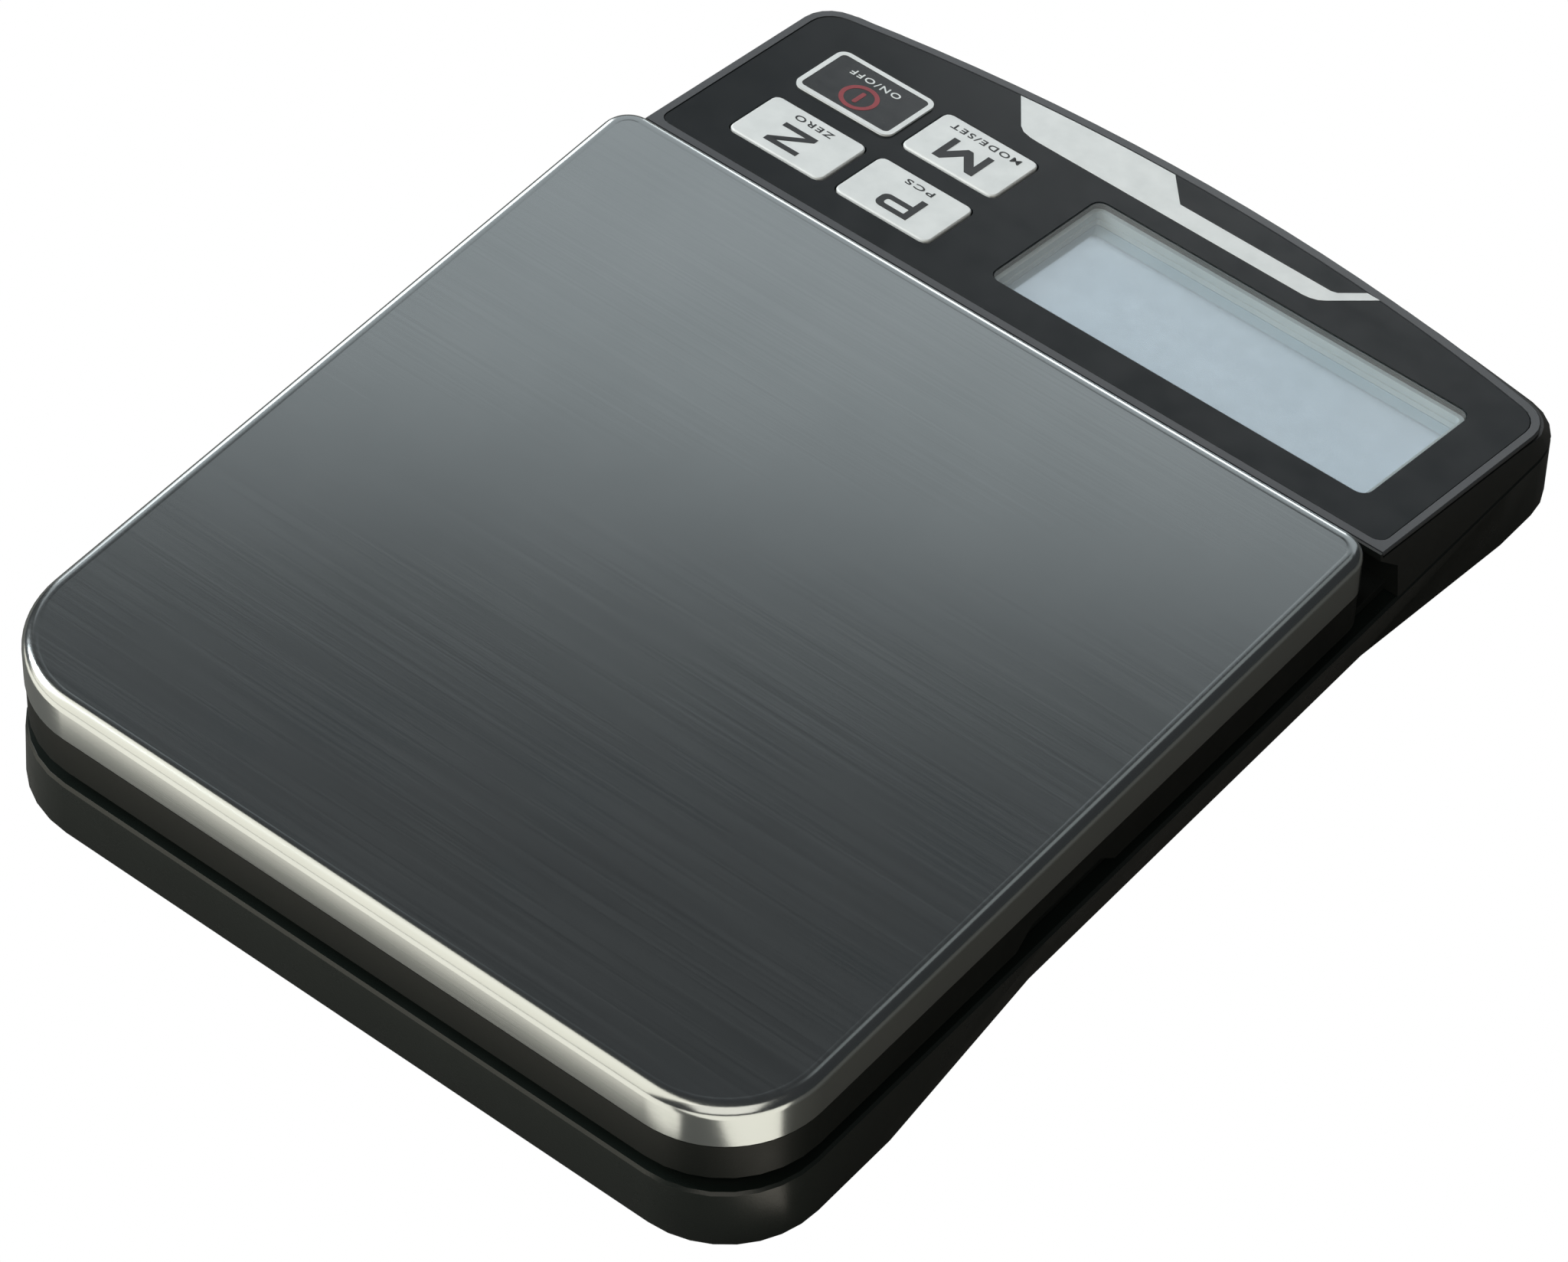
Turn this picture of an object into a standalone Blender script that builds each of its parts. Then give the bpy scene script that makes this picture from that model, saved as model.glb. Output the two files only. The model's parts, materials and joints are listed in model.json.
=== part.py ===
"""Digital gram scale: a steel weighing tray on a single-point load cell, with a sloped display head in front.

Metres, +Z up, origin at the centre of the footprint on the resting surface. The user stands at -Y, in front
of the display head, and the weighing tray lies behind it towards +Y.
"""

import math

import bmesh
import bpy
from mathutils import Matrix, Vector

# Overall shape
FRONT_Y = -0.1038
REAR_Y = 0.1036
BASE_BOTTOM_Z = 0.0015
SEAM_Z = 0.0136
DECK_TOP_Z = 0.0156
TRAY_TOP_Z = 0.0318
WALL = 0.0022
PART_GAP = 0.0003

# Lower housing in plan: the long sides are drawn in between the waist's two ends
LIP_HALF_WIDTH = 0.0723
BOTTOM_FRONT_HALF_WIDTH = 0.0729
WAIST_HALF_WIDTH = 0.0699
BOTTOM_REAR_HALF_WIDTH = 0.0729
WAIST_STATIONS_Y = (-0.0796, -0.0476, 0.0344, 0.0704)
BASE_REAR_RADIUS = 0.0174
LIP_FRONT_Y = -0.1022
LIP_ARC_RADIUS = 0.4500
LIP_CORNER_RADIUS = 0.0091
BOTTOM_ARC_RADIUS = 0.3500
BOTTOM_CORNER_RADIUS = 0.0110
LEDGE = 0.0036
DECK_INSET = 0.0026

# Display head
LABEL_TILT = math.radians(10.2)
LABEL_BACK_Y = -0.0496
LABEL_BACK_Z = 0.0256
HEAD_TOP_HALF_WIDTH = 0.0711
HEAD_OVERHANG_Y = -0.0472
HEAD_REAR_WALL_Y = -0.0516
HEAD_REAR_WALL = 0.0016
HEAD_OVERHANG_Z = 0.0252
HEAD_OVERHANG_FOOT_Z = 0.0204
HEAD_TOP_FRONT_Y = -0.1012
HEAD_CORNER_RADIUS = 0.0062
HEAD_ARC_RADIUS = 0.3050
BEZEL_WIDTH = 0.0016
BEZEL_FRONT_WIDTH = 0.0019
BEZEL_DEPTH = 0.0010
LABEL_THICKNESS = 0.0008
COVER_THICKNESS = 0.0023
LABEL_FRONT_RADIUS = 0.0048
LABEL_REAR_RADIUS = 0.0018

# Display, in the label's own plane: x across, v along the slope and w out of it
WINDOW_X = (-0.0613, 0.0099)
WINDOW_V = (-0.0360, -0.0074)
WINDOW_RADIUS = 0.0018
WINDOW_THICKNESS = 0.0012
WINDOW_LEDGE = 0.0008
GLASS_MARGIN = 0.0008
GLASS_TOP_W = -0.0036
GLASS_THICKNESS = 0.0011
BACKLIGHT_THICKNESS = 0.0016
FRAME_WALL = 0.0008
BOARD_TOP_W = -0.0070
BOARD_THICKNESS = 0.0016
BOARD_X = (-0.0560, 0.0620)
BOARD_V = (-0.0404, -0.0064)

# Keys
KEY_COLUMNS_X = (0.0305, 0.0516)
KEY_ROWS_V = (-0.02955, -0.0124)
KEY_SIZE = (0.0186, 0.0127)
KEY_RADIUS = 0.0014
KEY_PROUD = 0.0002
KEY_THICKNESS = 0.0010
KEY_POCKET_DEPTH = 0.0018
KEY_STEM_RADIUS = 0.0016
KEY_STEM_END_W = -0.00585
DOME_RADIUS = 0.0030
DOME_HEIGHT = 0.0004

# Weighing table
TRAY_HALF_WIDTH = 0.0722
TRAY_FRONT_Y = -0.0441
TRAY_REAR_Y = 0.1034
TRAY_REAR_RADIUS = 0.0177
TRAY_FRONT_RADIUS = 0.0050
TRAY_SHEET = 0.0006
TRAY_APRON = 0.0080
TRAY_ROLL = 0.0020
CARRIER_CLEARANCE = 0.0003
CARRIER_PLATE = 0.0020
CARRIER_SKIRT_WALL = 0.0018
SKIRT_BOTTOM_Z = 0.0162
NOTCH_LENGTH = 0.0240
NOTCH_HEIGHT = 0.0036
NOTCH_SLOPE = 0.0040

# Load cell
BEAM_LENGTH = 0.0800
BEAM_SIDE = 0.0127
BEAM_Y = 0.0295
BEAM_BOTTOM_Z = 0.0077
BEAM_HOLE_RADIUS = 0.0042
BEAM_HOLE_SPREAD = 0.0060
BEAM_SCREWS_FROM_END = (0.0060, 0.0210)
CELL_PLATE_THICKNESS = 0.0015
CELL_PLATE_LENGTH = 0.0270
CELL_FLEX_GAP = 0.0004
CELL_SEAT_HALF_X = 0.0090
CELL_SEAT_MARGIN = 0.0070
CELL_HEAD_RADIUS = 0.0034
CELL_SHANK_RADIUS = 0.0019
CELL_HEAD_HOLE = 0.0038
CELL_SHANK_HOLE = 0.0023
CELL_THREAD_HOLE = 0.0022
DECK_SLOT = (0.0220, 0.0920)

# Batteries, lying across the scale
BAY_HALF_X = 0.0270
BAY_Y = (-0.0470, -0.0130)
BAY_WALL = 0.0012
FLOOR_TOP_Z = 0.0035
CELL_RADIUS = 0.00525
CELL_BODY_LENGTH = 0.0435
CELL_NUB_RADIUS = 0.0019
CELL_NUB_LENGTH = 0.0010
CELL_PITCH = 0.0108
CELLS_MIDDLE_Y = -0.0294
CELL_AXIS_Z = 0.0084
DOOR_THICKNESS = 0.0015
DOOR_TAB_X = 0.0150
DOOR_TAB_WIDTH = 0.0060
DOOR_TAB_REACH = 0.0022

# Feet and screws
FOOT_RADIUS = 0.0060
FOOT_HEIGHT = 0.0018
FEET = ((-0.057, -0.085), (0.057, -0.085), (-0.057, 0.085), (0.057, 0.085))
HOUSING_SCREWS = ((-0.034, -0.0927), (0.034, -0.0927), (-0.036, 0.0925), (0.036, 0.0925))
SCREW_HEAD_RADIUS = 0.0030
SCREW_RADIUS = 0.0014

LABEL_FRAME = Matrix.Translation((0, LABEL_BACK_Y, LABEL_BACK_Z)) @ Matrix.Rotation(LABEL_TILT, 4, "X")


# ---------------------------------------------------------------- materials

def material(name, colour, roughness, metallic=0.0, alpha=1.0):
    found = bpy.data.materials.get(name)
    if found:
        return found
    made = bpy.data.materials.new(name)
    made.use_nodes = True
    shader = made.node_tree.nodes["Principled BSDF"]
    shader.inputs["Base Color"].default_value = (*colour, 1.0)
    shader.inputs["Roughness"].default_value = roughness
    shader.inputs["Metallic"].default_value = metallic
    shader.inputs["Alpha"].default_value = alpha
    return made


def black_plastic():
    return material("black_plastic", (0.012, 0.013, 0.013), 0.42)


def bezel_plastic():
    return material("bezel_plastic", (0.035, 0.036, 0.040), 0.35)


def steel():
    return material("brushed_steel", (0.30, 0.31, 0.31), 0.30, 1.0)


def label_film():
    return material("label_film", (0.010, 0.014, 0.018), 0.12)


def clear_window():
    return material("clear_window", (0.80, 0.86, 0.90), 0.05, alpha=0.3)


def display_glass():
    return material("display_glass", (0.52, 0.58, 0.63), 0.15)


def white_key():
    return material("white_key", (0.72, 0.74, 0.75), 0.35)


def black_key():
    return material("black_key", (0.010, 0.012, 0.014), 0.15)


def aluminium():
    return material("aluminium", (0.66, 0.67, 0.68), 0.35, 1.0)


def screw_steel():
    return material("screw_steel", (0.45, 0.45, 0.46), 0.30, 1.0)


def rubber():
    return material("rubber", (0.020, 0.020, 0.020), 0.85)


def green_board():
    return material("green_board", (0.030, 0.160, 0.070), 0.40)


def white_plastic():
    return material("white_plastic", (0.75, 0.75, 0.72), 0.40)


def battery_jacket():
    return material("battery_jacket", (0.62, 0.36, 0.12), 0.30)


def cable_jacket():
    return material("cable_jacket", (0.300, 0.025, 0.020), 0.45)


# ---------------------------------------------------------------- mesh helpers

def add_object(name, mesh, finish, matrix=None):
    mesh.transform(matrix or Matrix())
    bmesh.ops.recalc_face_normals(mesh, faces=mesh.faces)
    data = bpy.data.meshes.new(name)
    mesh.to_mesh(data)
    mesh.free()
    data.shade_smooth()
    data.set_sharp_from_angle(angle=math.radians(30))
    made = bpy.data.objects.new(name, data)
    bpy.context.scene.collection.objects.link(made)
    if finish:
        data.materials.append(finish)
    return made


def helper(name, mesh, matrix=None):
    """A cutter or an added shape for a Boolean, which is no piece itself."""
    made = add_object(name, mesh, None, matrix)
    made.hide_render = True
    made.display_type = "WIRE"
    return made


def combine(target, other, operation):
    change = target.modifiers.new(other.name, "BOOLEAN")
    change.object = other
    change.operation = operation
    change.solver = "EXACT"
    change.use_self = True


def cut(target, name, mesh, matrix=None):
    combine(target, helper(name, mesh, matrix), "DIFFERENCE")


def join(target, name, mesh, matrix=None):
    combine(target, helper(name, mesh, matrix), "UNION")


def loft(mesh, rings):
    """Skins closed rings with equal numbers of points, and caps both ends."""
    loops = [[mesh.verts.new(point) for point in ring] for ring in rings]
    count = len(loops[0])
    for low, high in zip(loops, loops[1:]):
        for i in range(count):
            j = (i + 1) % count
            mesh.faces.new((low[i], low[j], high[j], high[i]))
    mesh.faces.new(list(reversed(loops[0])))
    mesh.faces.new(loops[-1])
    return mesh


def at_height(outline, z):
    return [(x, y, z) for x, y in outline]


def prism(outline, low, high, mesh=None):
    return loft(mesh or bmesh.new(), [at_height(outline, low), at_height(outline, high)])


def box(x, y, z, mesh=None):
    corners = [(x[0], y[0]), (x[1], y[0]), (x[1], y[1]), (x[0], y[1])]
    return prism(corners, z[0], z[1], mesh)


def circle(centre, radius, count=20):
    turns = [2 * math.pi * i / count for i in range(count)]
    return [(centre[0] + radius * math.cos(a), centre[1] + radius * math.sin(a)) for a in turns]


def cylinder(centre, radius, low, high, mesh=None, count=20):
    return prism(circle(centre, radius, count), low, high, mesh)


def turned(profile, mesh=None, count=20):
    """A solid of revolution about Z from (radius, height) pairs, bottom to top."""
    return loft(mesh or bmesh.new(), [at_height(circle((0, 0), r, count), z) for r, z in profile])


def arc(centre, radius, start, end, steps):
    angles = [start + (end - start) * i / steps for i in range(steps + 1)]
    return [(centre[0] + radius * math.cos(a), centre[1] + radius * math.sin(a)) for a in angles]


def rounded_rectangle(x, y, radius_front, radius_rear=None, steps=6):
    """Anticlockwise outline; the front corners are the two at the lower y."""
    rear = radius_front if radius_rear is None else radius_rear
    quarter = math.pi / 2
    front = radius_front
    outline = arc((x[1] - front, y[0] + front), front, -quarter, 0, steps)
    outline += arc((x[1] - rear, y[1] - rear), rear, 0, quarter, steps)
    outline += arc((x[0] + rear, y[1] - rear), rear, quarter, 2 * quarter, steps)
    outline += arc((x[0] + front, y[0] + front), front, 2 * quarter, 3 * quarter, steps)
    return outline


def arched_front(half_width, front_y, arc_radius, corner_radius, inset=0.0):
    """The head's front from its left side round to its right side: two rounded corners and one wide arc."""
    centre_y = front_y + arc_radius
    big = arc_radius - inset
    small = corner_radius - inset
    reach = half_width - corner_radius
    corner_y = centre_y - math.sqrt((arc_radius - corner_radius) ** 2 - reach**2)
    tangent = math.atan2(corner_y - centre_y, reach)
    left = arc((-reach, corner_y), small, -math.pi, -math.pi - tangent, 5)
    middle = arc((0, centre_y), big, -math.pi - tangent, tangent, 18)
    right = arc((reach, corner_y), small, tangent, 0, 5)
    return left + middle[1:-1] + right


def housing_outline(level, inset=0.0):
    """The lower housing's plan at a level: its front's y, arc and corner radius, then three half widths."""
    front_shape, front, waist, rear = level
    widths = (front, waist, waist, rear)
    side = [(width - inset, y) for width, y in zip(widths, WAIST_STATIONS_Y)]
    radius = BASE_REAR_RADIUS - inset
    centre_x = rear - BASE_REAR_RADIUS
    centre_y = REAR_Y - BASE_REAR_RADIUS
    quarter = math.pi / 2
    corner_right = arc((centre_x, centre_y), radius, 0, quarter, 8)
    corner_left = arc((-centre_x, centre_y), radius, quarter, 2 * quarter, 8)
    mirrored = [(-x, y) for x, y in reversed(side)]
    return arched_front(front, *front_shape, inset) + side + corner_right + corner_left + mirrored


def on_label(x, v, w):
    return LABEL_FRAME @ Vector((x, v, w))


# ---------------------------------------------------------------- housings

LIP_FRONT = (LIP_FRONT_Y, LIP_ARC_RADIUS, LIP_CORNER_RADIUS)
BOTTOM_FRONT = (FRONT_Y, BOTTOM_ARC_RADIUS, BOTTOM_CORNER_RADIUS)
LIP_LEVEL = (LIP_FRONT, LIP_HALF_WIDTH, LIP_HALF_WIDTH, LIP_HALF_WIDTH)
BOTTOM_LEVEL = (BOTTOM_FRONT, BOTTOM_FRONT_HALF_WIDTH, WAIST_HALF_WIDTH, BOTTOM_REAR_HALF_WIDTH)
BOSS_TOP_Z = 0.0080
BASE_BOSS_RADIUS = 0.0045
UPPER_BOSS_RADIUS = 0.0032
CELL_BOSS_TOP_Z = 0.0060
SCREW_HEAD_SEAT_Z = 0.0040


def beam_screw_places():
    """Y of the two screws at the fixed (front) end, then of the two at the free (rear) end."""
    ends = [BEAM_Y - BEAM_LENGTH / 2 + d for d in BEAM_SCREWS_FROM_END]
    return ends, [2 * BEAM_Y - y for y in ends]


def base_shell():
    outer = loft(bmesh.new(), [
        at_height(housing_outline(BOTTOM_LEVEL, 0.0012), BASE_BOTTOM_Z),
        at_height(housing_outline(BOTTOM_LEVEL, 0.0004), BASE_BOTTOM_Z + 0.0005),
        at_height(housing_outline(BOTTOM_LEVEL), BASE_BOTTOM_Z + 0.0014),
        at_height(housing_outline(LIP_LEVEL), SEAM_Z - 0.0005),
        at_height(housing_outline(LIP_LEVEL, 0.0004), SEAM_Z),
    ])
    shell = add_object("base_shell", outer, black_plastic())
    hollow = loft(bmesh.new(), [
        at_height(housing_outline(BOTTOM_LEVEL, WALL + 0.0012), FLOOR_TOP_Z),
        at_height(housing_outline(BOTTOM_LEVEL, WALL), FLOOR_TOP_Z + 0.0012),
        at_height(housing_outline(LIP_LEVEL, WALL), SEAM_Z - 0.0045),
        at_height(housing_outline(LIP_LEVEL, LEDGE), SEAM_Z - 0.0025),
        at_height(housing_outline(LIP_LEVEL, LEDGE), SEAM_Z + 0.0020),
    ])
    cut(shell, "base_hollow", hollow)
    under_floor = FLOOR_TOP_Z - 0.0010
    inside = box((-BAY_HALF_X - BAY_WALL, BAY_HALF_X + BAY_WALL), (BAY_Y[0] - BAY_WALL, BAY_Y[1] + BAY_WALL),
                 (under_floor, SEAM_Z))
    for centre in HOUSING_SCREWS:
        cylinder(centre, BASE_BOSS_RADIUS, under_floor, BOSS_TOP_Z, inside)
    fixed_end = beam_screw_places()[0]
    seat_y = (fixed_end[0] - CELL_SEAT_MARGIN, fixed_end[1] + CELL_SEAT_MARGIN)
    box((-CELL_SEAT_HALF_X, CELL_SEAT_HALF_X), seat_y, (under_floor, CELL_BOSS_TOP_Z), inside)
    join(shell, "base_inside", inside)
    cut(shell, "battery_bay", box((-BAY_HALF_X, BAY_HALF_X), BAY_Y, (0, SEAM_Z + 0.001)))
    openings = bmesh.new()
    tab_y = (BAY_Y[0] - BAY_WALL - 0.001, BAY_Y[0] + 0.001)
    for x in (-DOOR_TAB_X, DOOR_TAB_X):
        half = DOOR_TAB_WIDTH / 2 + PART_GAP
        box((x - half, x + half), tab_y, (FLOOR_TOP_Z, FLOOR_TOP_Z + 0.0018), openings)
    for centre in HOUSING_SCREWS:
        cylinder(centre, SCREW_HEAD_RADIUS + PART_GAP, 0, SCREW_HEAD_SEAT_Z, openings)
        cylinder(centre, SCREW_RADIUS + PART_GAP, SCREW_HEAD_SEAT_Z - 0.001, BOSS_TOP_Z + 0.001, openings, 12)
    cut(shell, "base_openings", openings)
    holes = bmesh.new()
    for y in fixed_end:
        cylinder((0, y), CELL_HEAD_HOLE, 0, SCREW_HEAD_SEAT_Z, holes)
    cut(shell, "cell_screw_heads", holes)
    shanks = bmesh.new()
    for y in fixed_end:
        cylinder((0, y), CELL_SHANK_HOLE, SCREW_HEAD_SEAT_Z - 0.001, CELL_BOSS_TOP_Z + 0.001, shanks, 16)
    cut(shell, "cell_screw_shanks", shanks)
    pads = bmesh.new()
    for centre in FEET:
        cylinder(centre, FOOT_RADIUS + PART_GAP, 0, FOOT_HEIGHT + PART_GAP, pads, 24)
    cut(shell, "foot_recesses", pads)
    return shell


def head_outline(inset, rear_y, margin=0.0):
    """The head's plan along the edge of its sloping top; margin grows it."""
    half_width = HEAD_TOP_HALF_WIDTH + margin
    front = arched_front(half_width, HEAD_TOP_FRONT_Y - margin, HEAD_ARC_RADIUS, HEAD_CORNER_RADIUS, inset)
    return front + [(half_width - inset, rear_y), (-half_width + inset, rear_y)]


def head_foot_outline(inset, rear_y):
    """The head's plan where it meets the lower housing's lip."""
    front = arched_front(LIP_HALF_WIDTH, *LIP_FRONT, inset)
    return front + [(LIP_HALF_WIDTH - inset, rear_y), (-LIP_HALF_WIDTH + inset, rear_y)]


def onto_label(outline, w):
    """The outline's points moved up or down to the plane at height w over the label."""
    slope = math.tan(LABEL_TILT)
    lift = LABEL_BACK_Z + w / math.cos(LABEL_TILT)
    return [(x, y, lift + (y - LABEL_BACK_Y) * slope) for x, y in outline]


def upper_housing():
    top = head_outline(0.0, HEAD_OVERHANG_Y)
    low = head_foot_outline(0.0, HEAD_OVERHANG_Y)
    head = loft(bmesh.new(), [at_height(low, SEAM_Z + PART_GAP), onto_label(top, 0.0)])
    cover = add_object("upper_housing", head, black_plastic())
    under_top = -(BEZEL_DEPTH + COVER_THICKNESS)
    inner_rear = HEAD_REAR_WALL_Y - HEAD_REAR_WALL
    hollow = loft(bmesh.new(), [
        at_height(head_foot_outline(WALL, inner_rear), SEAM_Z - 0.001),
        onto_label(head_outline(WALL, inner_rear), under_top),
    ])
    cut(cover, "head_hollow", hollow)
    shelf = head_outline(0.0, LABEL_BACK_Y + BEZEL_WIDTH + PART_GAP, 0.002)
    cut(cover, "label_shelf", loft(bmesh.new(), [onto_label(shelf, -BEZEL_DEPTH), onto_label(shelf, 0.004)]))
    behind = [(HEAD_REAR_WALL_Y, SEAM_Z - 0.002), (HEAD_REAR_WALL_Y, HEAD_OVERHANG_FOOT_Z),
              (HEAD_OVERHANG_Y + 0.0005, HEAD_OVERHANG_Z), (HEAD_OVERHANG_Y + 0.01, HEAD_OVERHANG_Z),
              (HEAD_OVERHANG_Y + 0.01, SEAM_Z - 0.002)]
    wedge = loft(bmesh.new(), [[(x, y, z) for y, z in behind] for x in (-0.080, 0.080)])
    cut(cover, "overhang", wedge)
    deck = prism(deck_outline(), SEAM_Z + PART_GAP, DECK_TOP_Z)
    for centre in HOUSING_SCREWS[2:]:
        cylinder(centre, UPPER_BOSS_RADIUS, BOSS_TOP_Z + PART_GAP, SEAM_Z + 0.001, deck)
    for x, y in HOUSING_SCREWS[:2]:
        ceiling = on_label(x, (y - LABEL_BACK_Y) / math.cos(LABEL_TILT), under_top)[2] + 0.001
        cylinder((x, y), UPPER_BOSS_RADIUS, BOSS_TOP_Z + PART_GAP, ceiling, deck)
    join(cover, "deck_and_bosses", deck)
    cuts = box((-DECK_SLOT[0] / 2, DECK_SLOT[0] / 2), (BEAM_Y - DECK_SLOT[1] / 2, BEAM_Y + DECK_SLOT[1] / 2),
               (SEAM_Z - 0.001, DECK_TOP_Z + 0.001))
    for centre in HOUSING_SCREWS:
        cylinder(centre, SCREW_RADIUS + PART_GAP, BOSS_TOP_Z - 0.001, SEAM_Z - 0.0002, cuts, 12)
    cut(cover, "deck_openings", cuts)
    low_w = under_top - 0.001
    fronts = prism(window_outline(-WINDOW_LEDGE), low_w, 0.001)
    for row in KEY_ROWS_V:
        for column in KEY_COLUMNS_X:
            cylinder((column, row), KEY_STEM_RADIUS + PART_GAP, low_w, 0.0, fronts, 12)
    cut(cover, "window_and_stem_holes", fronts, LABEL_FRAME)
    pockets = prism(window_outline(PART_GAP), -WINDOW_THICKNESS - PART_GAP, 0.001)
    for row in KEY_ROWS_V:
        for column in KEY_COLUMNS_X:
            prism(key_outline(column, row, PART_GAP), -KEY_POCKET_DEPTH, 0.0, pockets)
    cut(cover, "window_and_key_pockets", pockets, LABEL_FRAME)
    return cover


def deck_outline():
    side = LIP_HALF_WIDTH - DECK_INSET
    return rounded_rectangle((-side, side), (HEAD_REAR_WALL_Y - 0.001, REAR_Y - DECK_INSET), 0.001,
                             BASE_REAR_RADIUS - DECK_INSET)


# ---------------------------------------------------------------- label, display and keys

def label_outline(margin=0.0):
    """The label in its own plane; margin grows it."""
    half = HEAD_TOP_HALF_WIDTH - BEZEL_WIDTH
    slope = math.cos(LABEL_TILT)
    front_v = (HEAD_TOP_FRONT_Y - LABEL_BACK_Y) / slope + BEZEL_FRONT_WIDTH
    front = arched_front(half, front_v, HEAD_ARC_RADIUS, LABEL_FRONT_RADIUS, -margin)
    rear = LABEL_REAR_RADIUS
    quarter = math.pi / 2
    corners = arc((half - rear, -rear), rear + margin, 0, quarter, 4)
    corners += arc((rear - half, -rear), rear + margin, quarter, 2 * quarter, 4)
    return front + corners


def window_outline(margin=0.0):
    x = (WINDOW_X[0] - margin, WINDOW_X[1] + margin)
    v = (WINDOW_V[0] - margin, WINDOW_V[1] + margin)
    return rounded_rectangle(x, v, WINDOW_RADIUS + margin, steps=4)


def key_outline(column, row, margin=0.0):
    half_x = KEY_SIZE[0] / 2 + margin
    half_v = KEY_SIZE[1] / 2 + margin
    return rounded_rectangle((column - half_x, column + half_x), (row - half_v, row + half_v),
                             KEY_RADIUS + margin, steps=3)


def label_bezel():
    outer = head_outline(0.0, LABEL_BACK_Y + BEZEL_WIDTH)
    low_w = -BEZEL_DEPTH + PART_GAP
    ring = add_object("label_bezel", loft(bmesh.new(), [
        onto_label(outer, low_w), onto_label(outer, -0.0002),
        onto_label(head_outline(0.0002, LABEL_BACK_Y + BEZEL_WIDTH), 0.0)]),
        bezel_plastic())
    cut(ring, "bezel_middle", prism(label_outline(0.00015), -0.004, 0.004), LABEL_FRAME)
    return ring


def front_label():
    low_w = -LABEL_THICKNESS + 0.0001
    film = add_object("front_label", prism(label_outline(), low_w, -0.0001), label_film(), LABEL_FRAME)
    openings = prism(window_outline(0.00015), -0.003, 0.002)
    for row in KEY_ROWS_V:
        for column in KEY_COLUMNS_X:
            prism(key_outline(column, row, 0.0002), -0.003, 0.002, openings)
    cut(film, "label_openings", openings, LABEL_FRAME)
    return film


def display():
    window = prism(window_outline(), -WINDOW_THICKNESS, -0.0002)
    add_object("lcd_window", window, clear_window(), LABEL_FRAME)
    x = (WINDOW_X[0] - GLASS_MARGIN, WINDOW_X[1] + GLASS_MARGIN)
    v = (WINDOW_V[0] - GLASS_MARGIN, WINDOW_V[1] + GLASS_MARGIN)
    low_w = GLASS_TOP_W - GLASS_THICKNESS
    add_object("lcd_glass", box(x, v, (low_w, GLASS_TOP_W)), display_glass(), LABEL_FRAME)
    strip_depth = 0.0022
    light_v = (v[0] + 0.0004, v[1] - strip_depth - 0.0006)
    light_top = low_w - 0.0002
    add_object("lcd_backlight", box((x[0] + 0.0004, x[1] - 0.0004), light_v, (light_top - BACKLIGHT_THICKNESS,
               light_top)), white_plastic(), LABEL_FRAME)
    add_object("connector_strip", box((x[0] + 0.004, x[1] - 0.004), (v[1] - strip_depth, v[1] - 0.0002),
               (BOARD_TOP_W + 0.0001, low_w - 0.0001)), rubber(), LABEL_FRAME)
    outer_x = (x[0] - FRAME_WALL - 0.0002, x[1] + FRAME_WALL + 0.0002)
    outer_v = (v[0] - FRAME_WALL - 0.0002, v[1] + FRAME_WALL + 0.0002)
    frame = add_object("lcd_frame", box(outer_x, outer_v, (BOARD_TOP_W + 0.0001, GLASS_TOP_W + 0.0001)),
                       white_plastic(), LABEL_FRAME)
    inner = box((x[0] - 0.0002, x[1] + 0.0002), (v[0] - 0.0002, v[1] + 0.0002), (-0.02, 0.01))
    cut(frame, "lcd_frame_opening", inner, LABEL_FRAME)
    board_w = (BOARD_TOP_W - BOARD_THICKNESS, BOARD_TOP_W)
    add_object("main_board", box(BOARD_X, BOARD_V, board_w), green_board(), LABEL_FRAME)
    chip_w = (board_w[0] - 0.0013, board_w[0] - 0.0001)
    add_object("main_chip", box((-0.030, -0.020), (-0.026, -0.016), chip_w), label_film(), LABEL_FRAME)


def key(name, column, row, finish):
    low_w = KEY_PROUD - KEY_THICKNESS
    lower = key_outline(column, row, -0.0001)
    upper = key_outline(column, row, -0.0003)
    cap = loft(bmesh.new(), [at_height(lower, low_w), at_height(lower, KEY_PROUD - 0.0002),
                             at_height(upper, KEY_PROUD)])
    made = add_object(name, cap, finish, LABEL_FRAME)
    stem = cylinder((column, row), KEY_STEM_RADIUS, KEY_STEM_END_W, low_w + 0.0003, count=12)
    join(made, name + "_stem", stem, LABEL_FRAME)


def dome(name, column, row):
    profile = [(DOME_RADIUS, 0.00005), (DOME_RADIUS * 0.85, DOME_HEIGHT * 0.6),
               (DOME_RADIUS * 0.4, DOME_HEIGHT)]
    place = LABEL_FRAME @ Matrix.Translation((column, row, BOARD_TOP_W))
    add_object(name, turned(profile, count=16), screw_steel(), place)


def keypad():
    left, right = KEY_COLUMNS_X
    front, back = KEY_ROWS_V
    places = {"power": (right, front), "zero": (right, back), "mode": (left, front), "pieces": (left, back)}
    for purpose, (column, row) in places.items():
        key("key_" + purpose, column, row, black_key() if purpose == "power" else white_key())
        dome("dome_" + purpose, column, row)


# ---------------------------------------------------------------- weighing table

def tray_outline(inset):
    x = TRAY_HALF_WIDTH - inset
    y = (TRAY_FRONT_Y + inset, TRAY_REAR_Y - inset)
    front = max(TRAY_FRONT_RADIUS - inset, 0.0006)
    return rounded_rectangle((-x, x), y, front, TRAY_REAR_RADIUS - inset, 8)


def rolled_rings(inset, top_z, bottom_z, roll, steps=5):
    """Rings of a downturned pan, from its lower rim up over the rolled edge."""
    rings = [at_height(tray_outline(inset), bottom_z)]
    for i in range(steps + 1):
        turn = math.pi / 2 * i / steps
        rings.append(at_height(tray_outline(inset + roll * (1 - math.cos(turn))),
                               top_z - roll + roll * math.sin(turn)))
    return rings


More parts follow.
